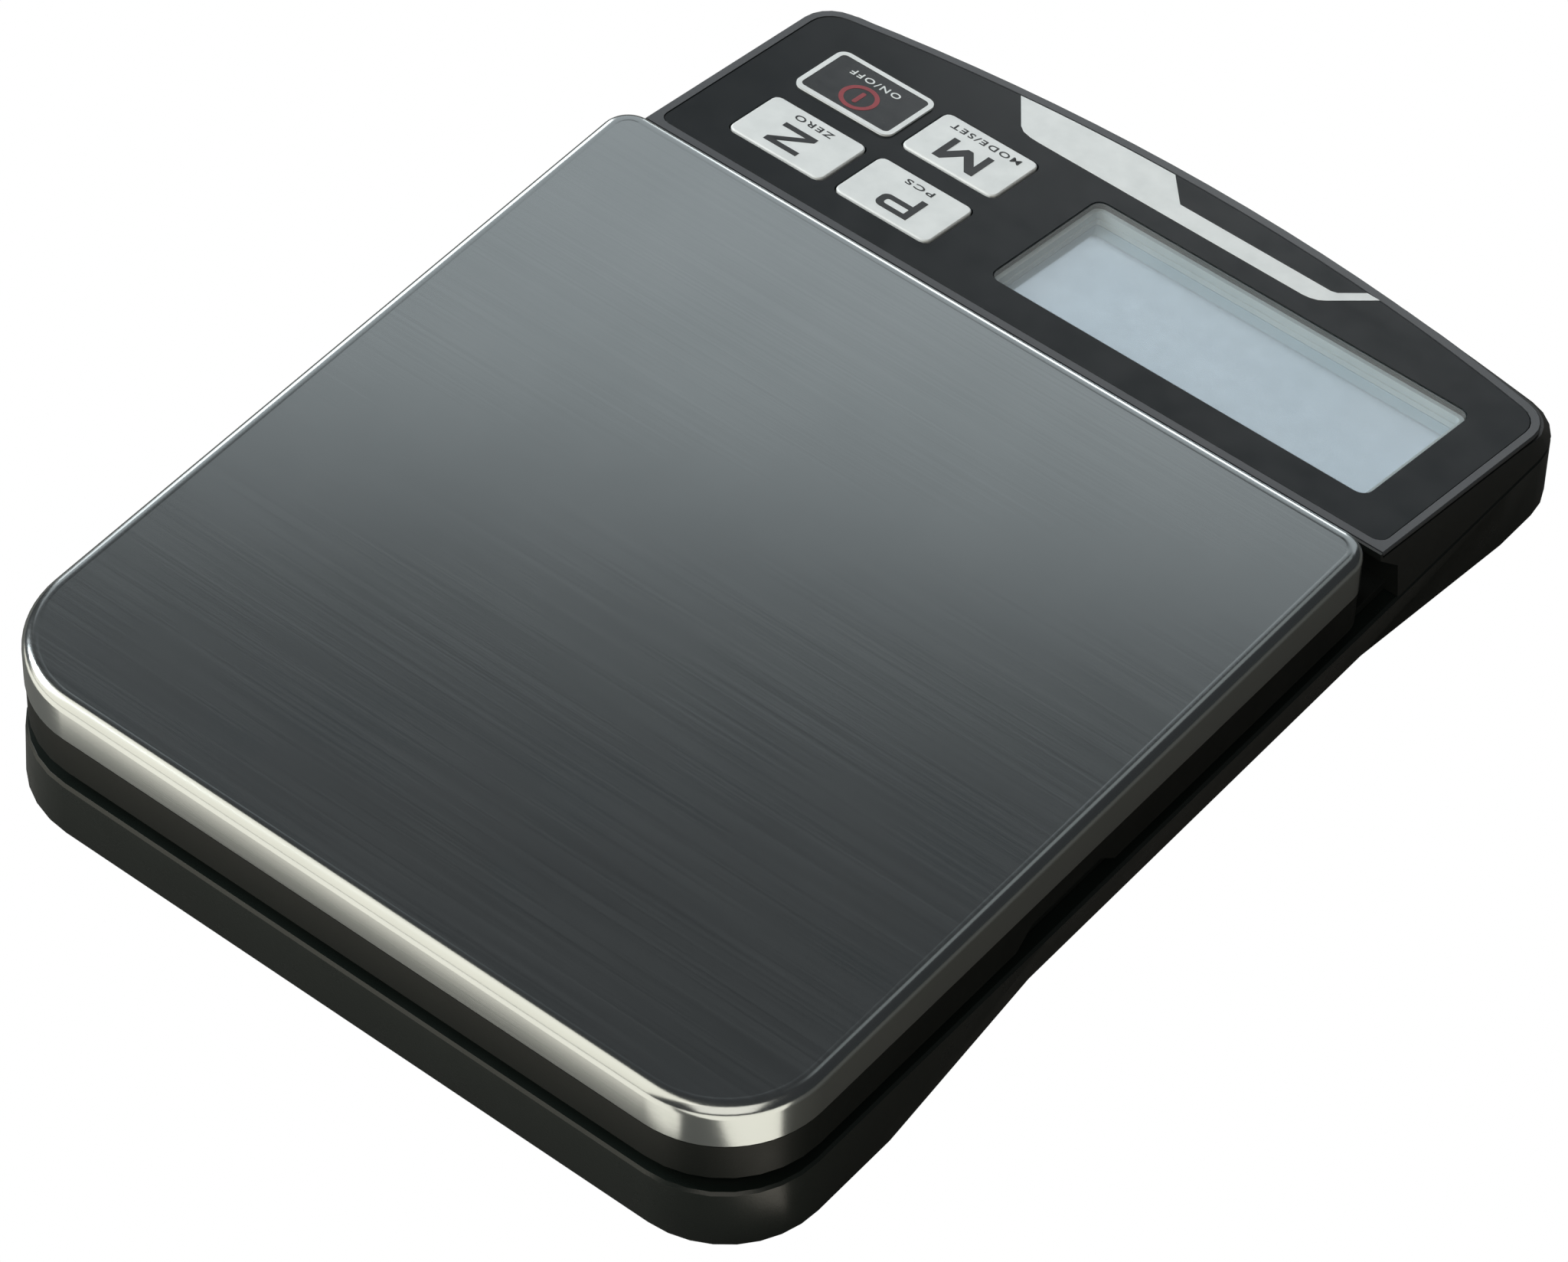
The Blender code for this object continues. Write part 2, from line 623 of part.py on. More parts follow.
def weighing_tray():
    rim_z = TRAY_TOP_Z - TRAY_APRON
    outside = rolled_rings(0.0, TRAY_TOP_Z, rim_z, TRAY_ROLL)
    pan = add_object("weighing_tray", loft(bmesh.new(), outside), steel())
    inside = rolled_rings(TRAY_SHEET, TRAY_TOP_Z - TRAY_SHEET, rim_z - 0.002, TRAY_ROLL - TRAY_SHEET)
    cut(pan, "tray_inside", loft(bmesh.new(), inside))


CARRIER_TOP_Z = TRAY_TOP_Z - TRAY_SHEET - CARRIER_CLEARANCE
BEAM_TOP_Z = BEAM_BOTTOM_Z + BEAM_SIDE
TOP_PLATE_Z = BEAM_TOP_Z + CELL_FLEX_GAP
CARRIER_BOSS_Z = TOP_PLATE_Z + CELL_PLATE_THICKNESS + 0.0001


def platform_carrier():
    neck = TRAY_SHEET + CARRIER_CLEARANCE
    rim_z = TRAY_TOP_Z - TRAY_APRON - PART_GAP
    body = loft(bmesh.new(), [
        at_height(tray_outline(0.0005), SKIRT_BOTTOM_Z),
        at_height(tray_outline(0.0002), SKIRT_BOTTOM_Z + 0.0004),
        at_height(tray_outline(0.0002), rim_z),
        at_height(tray_outline(neck), rim_z),
        at_height(tray_outline(neck), CARRIER_TOP_Z - TRAY_ROLL),
        at_height(tray_outline(neck + TRAY_ROLL * 0.35), CARRIER_TOP_Z - TRAY_ROLL * 0.35),
        at_height(tray_outline(neck + TRAY_ROLL), CARRIER_TOP_Z),
    ])
    carrier = add_object("platform_carrier", body, black_plastic())
    wall = neck + CARRIER_SKIRT_WALL
    plate_under = CARRIER_TOP_Z - CARRIER_PLATE
    hollow = loft(bmesh.new(), [
        at_height(tray_outline(wall), SKIRT_BOTTOM_Z - 0.002),
        at_height(tray_outline(wall), plate_under - 0.0010),
        at_height(tray_outline(wall + 0.0010), plate_under),
    ])
    cut(carrier, "carrier_hollow", hollow)
    free_end = beam_screw_places()[1]
    seat_y = (free_end[1] - CELL_SEAT_MARGIN, free_end[0] + CELL_SEAT_MARGIN)
    boss = box((-CELL_SEAT_HALF_X, CELL_SEAT_HALF_X), seat_y, (CARRIER_BOSS_Z, plate_under + 0.0010))
    join(carrier, "carrier_boss", boss)
    ribs = bmesh.new()
    for x in (-0.036, 0.036):
        box((x - 0.0008, x + 0.0008), (TRAY_FRONT_Y + wall - 0.0005, TRAY_REAR_Y - wall + 0.0005),
            (plate_under - 0.0040, plate_under + 0.0008), ribs)
    join(carrier, "carrier_ribs", ribs)
    cut(carrier, "finger_notches", finger_notches())
    heads = bmesh.new()
    for y in free_end:
        cylinder((0, y), CELL_HEAD_HOLE, CARRIER_TOP_Z - 0.0024, CARRIER_TOP_Z + 0.001, heads)
    cut(carrier, "carrier_screw_heads", heads)
    shanks = bmesh.new()
    for y in free_end:
        cylinder((0, y), CELL_SHANK_HOLE, CARRIER_BOSS_Z - 0.001, CARRIER_TOP_Z - 0.0020, shanks, 16)
    cut(carrier, "carrier_screw_shanks", shanks)


def finger_notches():
    """A shallow trapezoid out of the skirt's lower edge, at the middle of each long side."""
    half = NOTCH_LENGTH / 2
    shoulder = half - NOTCH_SLOPE
    middle = (TRAY_FRONT_Y + TRAY_REAR_Y) / 2
    top = SKIRT_BOTTOM_Z + NOTCH_HEIGHT
    low = SKIRT_BOTTOM_Z - 0.001
    profile = [(middle - half, low), (middle + half, low), (middle + half, SKIRT_BOTTOM_Z),
               (middle + shoulder, top), (middle - shoulder, top), (middle - half, SKIRT_BOTTOM_Z)]
    mesh = bmesh.new()
    for x in ((-0.075, -0.066), (0.066, 0.075)):
        loft(mesh, [[(side, y, z) for y, z in profile] for side in x])
    return mesh


# ---------------------------------------------------------------- load cell

def screw(name, place, head_radius, head_height, radius, length, finish, flip=False):
    """Socket-head screw: the head stands at its place and the shank runs up from it, or down when flipped."""
    profile = [(head_radius * 0.7, 0.0), (head_radius, head_height * 0.4), (head_radius, head_height),
               (radius, head_height + 0.00001), (radius, head_height + length - radius * 0.4),
               (radius * 0.6, head_height + length)]
    turn = Matrix.Rotation(math.pi, 4, "X") if flip else Matrix()
    made = add_object(name, turned(profile), finish, Matrix.Translation(place) @ turn)
    socket = cylinder((0, 0), head_radius * 0.45, -0.001, head_height * 0.6, count=6)
    cut(made, name + "_socket", socket, Matrix.Translation(place) @ turn)


def load_cell():
    half = BEAM_SIDE / 2
    ends = (BEAM_Y - BEAM_LENGTH / 2, BEAM_Y + BEAM_LENGTH / 2)
    beam = add_object("load_cell", box((-half, half), ends, (BEAM_BOTTOM_Z, BEAM_TOP_Z)), aluminium())
    middle_z = BEAM_BOTTOM_Z + half
    across = Matrix.Translation((0, BEAM_Y, middle_z)) @ Matrix.Rotation(math.pi / 2, 4, "Y")
    holes = bmesh.new()
    for y in (-BEAM_HOLE_SPREAD, BEAM_HOLE_SPREAD):
        cylinder((0, y), BEAM_HOLE_RADIUS, -0.01, 0.01, holes, 24)
    cut(beam, "flexure_holes", holes, across)
    bridge = box((-0.0020, 0.0020), (-BEAM_HOLE_SPREAD, BEAM_HOLE_SPREAD), (-0.01, 0.01))
    cut(beam, "flexure_bridge", bridge, across)
    fixed_end, free_end = beam_screw_places()
    shanks = bmesh.new()
    for y in fixed_end + free_end:
        cylinder((0, y), CELL_THREAD_HOLE, 0, 0.03, shanks, 16)
    cut(beam, "beam_screw_holes", shanks)
    for name, places, low in (("cell_base_plate", fixed_end, CELL_BOSS_TOP_Z + 0.0001),
                              ("cell_top_plate", free_end, TOP_PLATE_Z)):
        middle = sum(places) / 2
        span = (middle - CELL_PLATE_LENGTH / 2, middle + CELL_PLATE_LENGTH / 2)
        plate = add_object(name, box((-half, half), span, (low, low + CELL_PLATE_THICKNESS)), screw_steel())
        holes = bmesh.new()
        for y in places:
            cylinder((0, y), CELL_THREAD_HOLE, 0, 0.05, holes, 16)
        cut(plate, name + "_holes", holes)
    for number, y in enumerate(fixed_end, 1):
        screw(f"cell_base_screw_{number}", (0, y, 0.0019), CELL_HEAD_RADIUS, 0.0018, CELL_SHANK_RADIUS, 0.0125,
              screw_steel())
    for number, y in enumerate(free_end, 1):
        screw(f"cell_top_screw_{number}", (0, y, CARRIER_TOP_Z - 0.0002), CELL_HEAD_RADIUS, 0.0018,
              CELL_SHANK_RADIUS, 0.0170, screw_steel(), flip=True)


# ---------------------------------------------------------------- power

def battery_door():
    x = BAY_HALF_X - PART_GAP
    y = (BAY_Y[0] + PART_GAP, BAY_Y[1] - PART_GAP)
    low = BASE_BOTTOM_Z
    door = add_object("battery_door", box((-x, x), y, (low, low + DOOR_THICKNESS)), black_plastic())
    tabs = bmesh.new()
    tab_low = FLOOR_TOP_Z + PART_GAP
    profile = [(y[0], low + 0.0005), (y[0] + 0.0010, low + 0.0005), (y[0] + 0.0010, tab_low + 0.0008),
               (y[0] - DOOR_TAB_REACH, tab_low + 0.0008), (y[0] - DOOR_TAB_REACH, tab_low), (y[0], tab_low)]
    for centre in (-DOOR_TAB_X, DOOR_TAB_X):
        sides = (centre - DOOR_TAB_WIDTH / 2, centre + DOOR_TAB_WIDTH / 2)
        loft(tabs, [[(side, py, pz) for py, pz in profile] for side in sides])
    join(door, "door_tabs", tabs)
    grip = bmesh.new()
    for i in range(3):
        start = y[1] - 0.0040 - 0.0022 * i
        box((-0.0070, 0.0070), (start, start + 0.0010), (low - 0.001, low + 0.0005), grip)
    cut(door, "door_grip_grooves", grip)


def battery(number, y, facing):
    half = CELL_BODY_LENGTH / 2
    profile = [(CELL_RADIUS - 0.0004, -half), (CELL_RADIUS, -half + 0.0004), (CELL_RADIUS, half - 0.0004),
               (CELL_RADIUS - 0.0004, half), (CELL_NUB_RADIUS, half + 0.00001),
               (CELL_NUB_RADIUS, half + CELL_NUB_LENGTH)]
    turn = Matrix.Rotation(facing * math.pi / 2, 4, "Y")
    shift = -facing * CELL_NUB_LENGTH / 2 + facing * 0.0006
    place = Matrix.Translation((shift, y, CELL_AXIS_Z)) @ turn
    add_object(f"battery_{number}", turned(profile, count=24), battery_jacket(), place)


def battery_contact(number, y, facing):
    """Flat spring-steel blade with a pressed dimple that meets the cell's nub."""
    wall_x = BAY_HALF_X - 0.0002
    blade = 0.0004
    tip = CELL_BODY_LENGTH / 2 + CELL_NUB_LENGTH / 2 + 0.0006 + 0.0002
    dimple = [(0.0026, 0.0), (0.0012, wall_x - blade - tip)]
    plate = box((-0.0040, 0.0040), (-0.0040, 0.0040), (-blade, 0.0))
    place = Matrix.Translation((facing * (wall_x - blade), y, CELL_AXIS_Z)) @ Matrix.Rotation(
        -facing * math.pi / 2, 4, "Y")
    made = add_object(f"battery_contact_{number}", plate, screw_steel(), place)
    cone = turned([(0.0026, -blade / 2)] + dimple, count=16)
    join(made, f"battery_contact_{number}_dimple", cone, place)


def battery_spring(number, y, facing):
    """Conical coil between the bay's wall and the flat end of the cell."""
    wire = 0.0003
    start = BAY_HALF_X - 0.0002 - wire
    end = CELL_BODY_LENGTH / 2 + CELL_NUB_LENGTH / 2 - 0.0006 + 0.0002 + wire
    turns, steps = 3.0, 12
    count = int(turns * steps)
    points = []
    for i in range(count + 1):
        along = i / count
        radius = 0.0038 - 0.0016 * along
        angle = 2 * math.pi * turns * along
        points.append((-facing * (start + (end - start) * along), y + radius * math.cos(angle),
                       CELL_AXIS_Z + radius * math.sin(angle)))
    tube(f"battery_spring_{number}", points, wire, screw_steel(), 1)


def tube(name, points, radius, finish, resolution=2):
    curve = bpy.data.curves.new(name, "CURVE")
    curve.dimensions = "3D"
    curve.bevel_depth = radius
    curve.bevel_resolution = resolution
    curve.use_fill_caps = True
    spline = curve.splines.new("POLY")
    spline.points.add(len(points) - 1)
    for point, place in zip(spline.points, points):
        point.co = (*place, 1.0)
    curve.materials.append(finish)
    made = bpy.data.objects.new(name, curve)
    bpy.context.scene.collection.objects.link(made)
    return made


def smooth_route(knots, steps=4):
    """Catmull-Rom curve through the knots."""
    padded = [knots[0], *knots, knots[-1]]
    points = []
    for a, b, c, d in zip(padded, padded[1:], padded[2:], padded[3:]):
        a, b, c, d = (Vector(p) for p in (a, b, c, d))
        for i in range(steps):
            t = i / steps
            points.append(0.5 * (2 * b + (c - a) * t + (2 * a - 5 * b + 4 * c - d) * t**2
                                 + (3 * b - a - 3 * c + d) * t**3))
    points.append(Vector(knots[-1]))
    return points


def power():
    for number, offset in enumerate((-CELL_PITCH, 0.0, CELL_PITCH), 1):
        facing = -1 if number == 2 else 1
        battery(number, CELLS_MIDDLE_Y + offset, facing)
        battery_contact(number, CELLS_MIDDLE_Y + offset, facing)
        battery_spring(number, CELLS_MIDDLE_Y + offset, facing)
    battery_door()


def cables():
    board_under = BOARD_TOP_W - BOARD_THICKNESS - 0.0015
    tube("cell_cable", smooth_route([
        (0.0078, 0.004, 0.0125), (0.0130, -0.002, 0.0090), (0.0300, -0.010, 0.0065), (0.0340, -0.030, 0.0060),
        (0.0340, -0.050, 0.0065), (0.0300, -0.060, 0.0110), tuple(on_label(0.0260, -0.016, board_under))]),
        0.0010, cable_jacket())
    tube("battery_lead", smooth_route([
        (0.0295, -0.024, 0.0100), (0.0390, -0.030, 0.0090), (0.0410, -0.048, 0.0080), (0.0400, -0.060, 0.0110),
        tuple(on_label(0.0400, -0.020, board_under))]), 0.0008, cable_jacket())


# ---------------------------------------------------------------- feet and housing screws

def feet():
    names = ("front_left", "front_right", "rear_left", "rear_right")
    for name, (x, y) in zip(names, FEET):
        profile = [(FOOT_RADIUS - 0.0006, 0.0), (FOOT_RADIUS, 0.0005), (FOOT_RADIUS, FOOT_HEIGHT)]
        add_object(f"foot_{name}", turned(profile, count=24), rubber(), Matrix.Translation((x, y, 0)))
    for name, (x, y) in zip(names, HOUSING_SCREWS):
        screw(f"housing_screw_{name}", (x, y, 0.0020), SCREW_HEAD_RADIUS, 0.0016, SCREW_RADIUS, 0.0090,
              screw_steel())


for startup_object in list(bpy.data.objects):
    bpy.data.objects.remove(startup_object)

base_shell()
upper_housing()
label_bezel()
front_label()
display()
keypad()
weighing_tray()
platform_carrier()
load_cell()
power()
cables()
feet()
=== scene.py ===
"""Looks for the digital gram scale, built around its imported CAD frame."""

import json
import math

import bmesh
import bpy
from mathutils import Matrix, Vector

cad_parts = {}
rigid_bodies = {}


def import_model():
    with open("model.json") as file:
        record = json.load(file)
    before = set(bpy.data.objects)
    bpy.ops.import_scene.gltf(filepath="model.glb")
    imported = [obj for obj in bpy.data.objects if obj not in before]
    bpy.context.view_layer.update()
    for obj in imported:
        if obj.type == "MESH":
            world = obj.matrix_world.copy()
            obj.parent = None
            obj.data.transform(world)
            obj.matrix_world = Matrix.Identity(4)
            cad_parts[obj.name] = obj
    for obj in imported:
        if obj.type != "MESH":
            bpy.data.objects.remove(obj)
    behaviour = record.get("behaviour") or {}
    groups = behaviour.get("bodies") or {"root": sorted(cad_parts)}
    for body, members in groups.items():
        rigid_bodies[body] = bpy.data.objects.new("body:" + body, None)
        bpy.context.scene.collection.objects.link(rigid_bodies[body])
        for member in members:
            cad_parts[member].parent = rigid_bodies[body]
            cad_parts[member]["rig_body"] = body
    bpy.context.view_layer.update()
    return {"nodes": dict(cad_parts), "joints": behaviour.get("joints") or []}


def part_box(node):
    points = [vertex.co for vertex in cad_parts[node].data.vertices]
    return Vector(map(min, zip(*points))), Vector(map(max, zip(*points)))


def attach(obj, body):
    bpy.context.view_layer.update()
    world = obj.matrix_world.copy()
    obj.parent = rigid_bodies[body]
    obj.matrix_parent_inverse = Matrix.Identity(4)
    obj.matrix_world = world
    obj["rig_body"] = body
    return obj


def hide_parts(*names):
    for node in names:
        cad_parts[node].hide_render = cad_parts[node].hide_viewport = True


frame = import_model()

NODES = frame["nodes"]

# Mesh clean-up
WELD_DISTANCE = 0.000001
INK_WELD_DISTANCE = 0.0000001
FLAT_ANGLE = math.radians(0.3)
SMOOTH_ANGLE = math.radians(35.0)
SOFT_EDGE_ANGLE = math.radians(30.0)
SOFT_EDGE_SEGMENTS = 2

QUARTER = math.pi / 2
SMALL_CORNER_STEPS = 8

# Stretches of a noise's range over which colour and roughness change
COLOUR_BAND = (0.32, 0.68)
ROUGH_BAND = (0.3, 0.7)

# Steel tray
TRAY_REAR_RADIUS = 0.0177
TRAY_FRONT_RADIUS = 0.0050
TRAY_CORNER_STEPS = 16
TRAY_SHEET = 0.0006
TRAY_ROLL = 0.0020
TRAY_ROLL_STEPS = 14
TRAY_INNER_ROLL_STEPS = 8
TRAY_HEM = 0.00022
TRAY_HEM_BEND = TRAY_HEM * 0.3
CREASE_INSET = 0.0024
CREASE_WIDTH = 0.00036
CREASE_DEPTH = 0.000030

# Label graphics, in the label's plane: x across, v up the slope and w out of it. A corner of the strip is
# an x and the points around it, as offsets from that x and from the strip's edge.
LABEL_ARC_RADIUS = 0.3050
PRINT_THICKNESS = 0.00004
STRIP_BACK_V = -0.0406
STRIP_NOTCH_V = -0.0447
STRIP_RIGHT_X = 0.0347
STRIP_LEFT_X = -0.0330
STRIP_LEG_WIDTH = 0.0024
STRIP_FRONT_MARGIN = 0.0001
STRIP_FRONT_STEPS = 12
STRIP_WIDE_LEFT_X = 0.0055
STRIP_NOTCH_RIGHT_X = 0.0004
STRIP_NOTCH_CORNER = (-0.0292, ((-0.0006, -0.0004), (0.0004, 0.0)))
STRIP_RIGHT_SHOULDER = (0.0276, ((0.0022, -0.0014), (0.0010, -0.0005), (-0.0006, -0.0001), (-0.0022, 0.0)))
STRIP_LEFT_SHOULDER = (-0.0275, ((0.0014, 0.0), (0.0, -0.0002), (-0.0012, -0.0007), (-0.0022, -0.0016)))

# Power key's frame and symbol; the symbol's centre is measured from the key's
POWER_KEY_RADIUS = 0.0014
POWER_FRAME_OUT = 0.0004
POWER_FRAME_IN = -0.0005
POWER_FRAME_LEG_IN = 0.0002
POWER_FRAME_CLEARANCE = 0.00003
POWER_SYMBOL_X = -0.0001
POWER_SYMBOL_V = 0.0017
POWER_RING_RADIUS = 0.0033
POWER_RING_HOLE_RADIUS = 0.0025
POWER_RING_STEPS = 48
POWER_BAR_HALF_WIDTH = 0.0004
POWER_BAR_HALF_HEIGHT = 0.0016
POWER_BAR_RADIUS = 0.0003
POWER_BAR_CORNER_STEPS = 4

# Letters: each span is the lower left and the upper right corner
LETTER_STROKE = 0.0012
LETTER_BAR = LETTER_STROKE * 0.92
Z_SPAN = ((0.0488, -0.0140), (0.0552, -0.0080))
Z_DIAGONAL = 0.0017
M_SPAN = ((0.0269, -0.0311), (0.0348, -0.0250))
M_DIAGONAL = 0.0015
M_POINT_V = -0.0302
M_POINT_HALF_WIDTH = LETTER_STROKE * 0.4
P_SPAN = ((0.0270, -0.0141), (0.0335, -0.0081))
P_BOWL_V = -0.0117
P_BOWL_RADIUS = 0.0013
P_HOLE_RADIUS = P_BOWL_RADIUS * 0.4
P_BOWL_STEPS = 8
P_HOLE_STEPS = 6

# Words: key, text, x span and v span
WORD_BOLDNESS = 0.012
WORD_SPACING = 1.25
WORD_CURVE_STEPS = 6
WORDS = (("key_zero", "ZERO", (0.0478, 0.0552), (-0.0171, -0.0157)),
         ("key_mode", "MODE/SET", (0.0237, 0.0371), (-0.0342, -0.0328)),
         ("key_pieces", "PCS", (0.0278, 0.0332), (-0.0171, -0.0158)),
         ("key_power", "ON/OFF", (0.0470, 0.0567), (-0.0334, -0.0320)))

# Display well: margins are outwards from the window's edge
WINDOW_RADIUS = 0.0018
WELL_FLANGE_OUT = -0.0001
WELL_FLANGE_IN = -0.0009
WELL_FLANGE_TOP_GAP = 0.00004
WELL_FLANGE_LOW_GAP = 0.00026
WELL_NECK_TAPER = 0.00005
WELL_STEP_IN = -0.0012
WELL_STEP_SLOPE = 0.00006
WELL_WALL_OUT = -0.00085
WELL_FOOT_GAP = 0.00003

# Stage: corners in x and y; a card's y is measured from the tray's rear edge
FLOOR = ((-3.0, -3.0), (3.0, 3.0))
FLOOR_Z = -0.0002
CARDS = (("rear_card", (-0.060, 0.0178), (0.60, 0.60)),
         ("corner_card", (-0.40, -0.012), (-0.079, 0.60)))
CARD_Z = -0.0001
CARD_GLOW = 1.4
CARD_GLOW_COLOUR = (1.0, 0.93, 0.80)
STAGE_ALBEDO = (0.16, 0.16, 0.155)

# Lights: place, the point each one faces, size, radiance and colour
LIGHTS = (("key_light", (0.90, 0.36, 0.72), (0, 0, 0), (0.5, 0.5), 12.0, (0.94, 0.98, 1.0)),
          ("rear_light", (0.50, 0.61, 0.61), (0, 0, 0), (1.0, 1.45), 1.5, (1.0, 0.93, 0.79)),
          ("corner_light", (-0.51, 0.60, 0.62), (0, 0, 0), (0.75, 1.0), 1.4, (1.0, 0.93, 0.82)),
          ("front_rim_light", (0.40, -0.97, 0.24), (0, 0, 0.03), (0.24, 0.4), 2.4, (0.97, 0.99, 1.0)),
          ("right_rim_light", (0.90, -0.53, 0.24), (0, 0, 0.03), (0.26, 0.5), 2.4, (0.97, 0.99, 1.0)),
          ("front_light", (0.30, -0.56, 0.33), (0, 0, 0.03), (1.0, 0.60), 0.51, (0.92, 0.97, 1.0)),
          ("top_fill", (-0.12, -0.53, 0.84), (0, 0, 0.03), (0.35, 0.35), 0.28, (0.95, 1.0, 0.98)))


# ---------------------------------------------------------------- the label's plane, read from the frame

PRESS_AXIS = Vector([joint for joint in frame["joints"] if joint["name"] == "zero_press"][0]["axis"])
LABEL_TILT = math.atan2(PRESS_AXIS.y, -PRESS_AXIS.z)


def span_in(axes, node):
    """A CAD node's lowest and highest corners in those axes."""
    corners = [axes.inverted() @ vertex.co for vertex in NODES[node].data.vertices]
    low = Vector([min(corner[i] for corner in corners) for i in range(3)])
    high = Vector([max(corner[i] for corner in corners) for i in range(3)])
    return low, high


SLOPE = Matrix.Rotation(LABEL_TILT, 4, "X")
LABEL_BACK = span_in(SLOPE, "front_label")[1].y
BEZEL_TOP = span_in(SLOPE, "label_bezel")[1].z
LABEL_FRAME = SLOPE @ Matrix.Translation((0, LABEL_BACK, BEZEL_TOP))


def label_span(node):
    """A CAD node's lowest and highest corners as x, v and w."""
    return span_in(LABEL_FRAME, node)


# ---------------------------------------------------------------- material helpers

class Surface:
    """A Principled material whose colour, roughness and bump come from procedural nodes."""

    def __init__(self, name, metallic=0.0):
        self.material = bpy.data.materials.new(name)
        self.material.use_nodes = True
        self.nodes = self.material.node_tree.nodes
        self.links = self.material.node_tree.links
        self.shader = self.nodes["Principled BSDF"]
        self.shader.inputs["Metallic"].default_value = metallic
        self.place = self.nodes.new("ShaderNodeTexCoord").outputs["Object"]

    def set(self, socket, value):
        """Gives a socket one value all over, and returns the surface."""
        self.shader.inputs[socket].default_value = value
        return self

    def noise(self, scale, detail=3.0, stretch=(1.0, 1.0, 1.0)):
        """Noise with that many cells to the metre, drawn out along an axis where stretch is small."""
        mapping = self.nodes.new("ShaderNodeMapping")
        mapping.inputs["Scale"].default_value = stretch
        texture = self.nodes.new("ShaderNodeTexNoise")
        texture.inputs["Scale"].default_value = scale
        texture.inputs["Detail"].default_value = detail
        self.links.new(self.place, mapping.inputs["Vector"])
        self.links.new(mapping.outputs["Vector"], texture.inputs["Vector"])
        return texture.outputs["Fac"]

    def ramp(self, value, stops):
        """A colour ramp from (position, colour) stops."""
        made = self.nodes.new("ShaderNodeValToRGB")
        elements = made.color_ramp.elements
        for element, (position, colour) in zip(elements, (stops[0], stops[-1])):
            element.position = position
            element.color = (*colour, 1.0)
        for position, colour in stops[1:-1]:
            elements.new(position).color = (*colour, 1.0)
        self.links.new(value, made.inputs["Fac"])
        return made.outputs["Color"]

    def spread(self, value, band, low, high):
        """That value, with its band stretched from low to high."""
        made = self.nodes.new("ShaderNodeMapRange")
        made.inputs["From Min"].default_value, made.inputs["From Max"].default_value = band
        made.inputs["To Min"].default_value = low
        made.inputs["To Max"].default_value = high
        self.links.new(value, made.inputs["Value"])
        return made.outputs["Result"]

    def across(self, node, axis):
        """0 to 1 across a CAD node, along X or Y."""
        split = self.nodes.new("ShaderNodeSeparateXYZ")
        self.links.new(self.place, split.inputs["Vector"])
        low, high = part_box(node)
        index = "XY".index(axis)
        return self.spread(split.outputs[axis], (low[index], high[index]), 0.0, 1.0)

    def colour(self, value, low, high):
        """Base colour between two tones, following a noise."""
        tone = self.ramp(value, [(COLOUR_BAND[0], low), (COLOUR_BAND[1], high)])
        self.links.new(tone, self.shader.inputs["Base Color"])

    def rough(self, value, low, high):
        """Roughness between two values, following a noise."""
        self.links.new(self.spread(value, ROUGH_BAND, low, high), self.shader.inputs["Roughness"])

    def bump(self, value, height):
        """Adds relief of that height in metres, over any that is there."""
        made = self.nodes.new("ShaderNodeBump")
        made.inputs["Distance"].default_value = height
        self.links.new(value, made.inputs["Height"])
        before = self.shader.inputs["Normal"].links
        if before:
            self.links.new(before[0].from_socket, made.inputs["Normal"])
        self.links.new(made.outputs["Normal"], self.shader.inputs["Normal"])


def moulded(name, low, high, rough=(0.36, 0.50), grain=0.000012):
    """Moulded plastic: a fine spark-eroded grain under broad, faint changes of tone."""
    made = Surface(name)
    made.colour(made.noise(70.0, 4.0), low, high)
    made.rough(made.noise(160.0, 3.0), *rough)
    made.bump(made.noise(3200.0, 2.0), grain)
    return made


def brushed(name, low, high, rough, height, grain):
    """Metal with faint clouding and a straight brushed grain, in cells to the metre along each axis."""
    made = Surface(name, metallic=1.0)
    made.colour(made.noise(38.0, 5.0), low, high)
    lines = made.noise(1.0, 4.0, grain)
    made.rough(lines, *rough)
    made.bump(lines, height)
    return made


def printed(name, low, high, rough=(0.30, 0.42)):
    """Screen-printed ink with a slight orange-peel skin."""
    made = Surface(name)
    made.colour(made.noise(240.0, 3.0), low, high)
    made.rough(made.noise(420.0, 2.0), *rough)
    made.bump(made.noise(2600.0, 1.0), 0.000003)
    return made


def tray_steel():
    return brushed("tray_steel", (0.475, 0.510, 0.515), (0.505, 0.540, 0.545), (0.17, 0.21),
                   height=0.0000006, grain=(22.0, 3200.0, 3200.0))


def base_plastic():
    made = moulded("base_plastic", (0.0050, 0.0078, 0.0070), (0.0060, 0.0090, 0.0082), (0.26, 0.33))
    return made.set("Specular IOR Level", 0.40)


def head_plastic():
    return moulded("head_plastic", (0.0052, 0.0070, 0.0064), (0.0062, 0.0082, 0.0075), (0.40, 0.48))


def skirt_plastic():
    made = moulded("skirt_plastic", (0.0020, 0.0034, 0.0030), (0.0025, 0.0040, 0.0035), (0.42, 0.50))
    return made.set("Specular IOR Level", 0.18)


def bezel_plastic():
    return moulded("bezel_grey", (0.056, 0.062, 0.070), (0.064, 0.070, 0.078), (0.34, 0.42), grain=0.000006)


def label_film():
    """Glossy polyester film, back-printed in blue-black."""
    made = Surface("label_film_gloss")
    made.colour(made.noise(55.0, 4.0), (0.0030, 0.0056, 0.0070), (0.0052, 0.0084, 0.0102))
    made.rough(made.noise(180.0, 3.0), 0.18, 0.26)
    made.bump(made.noise(90.0, 2.0), 0.000008)
    return made.set("Specular IOR Level", 0.24)


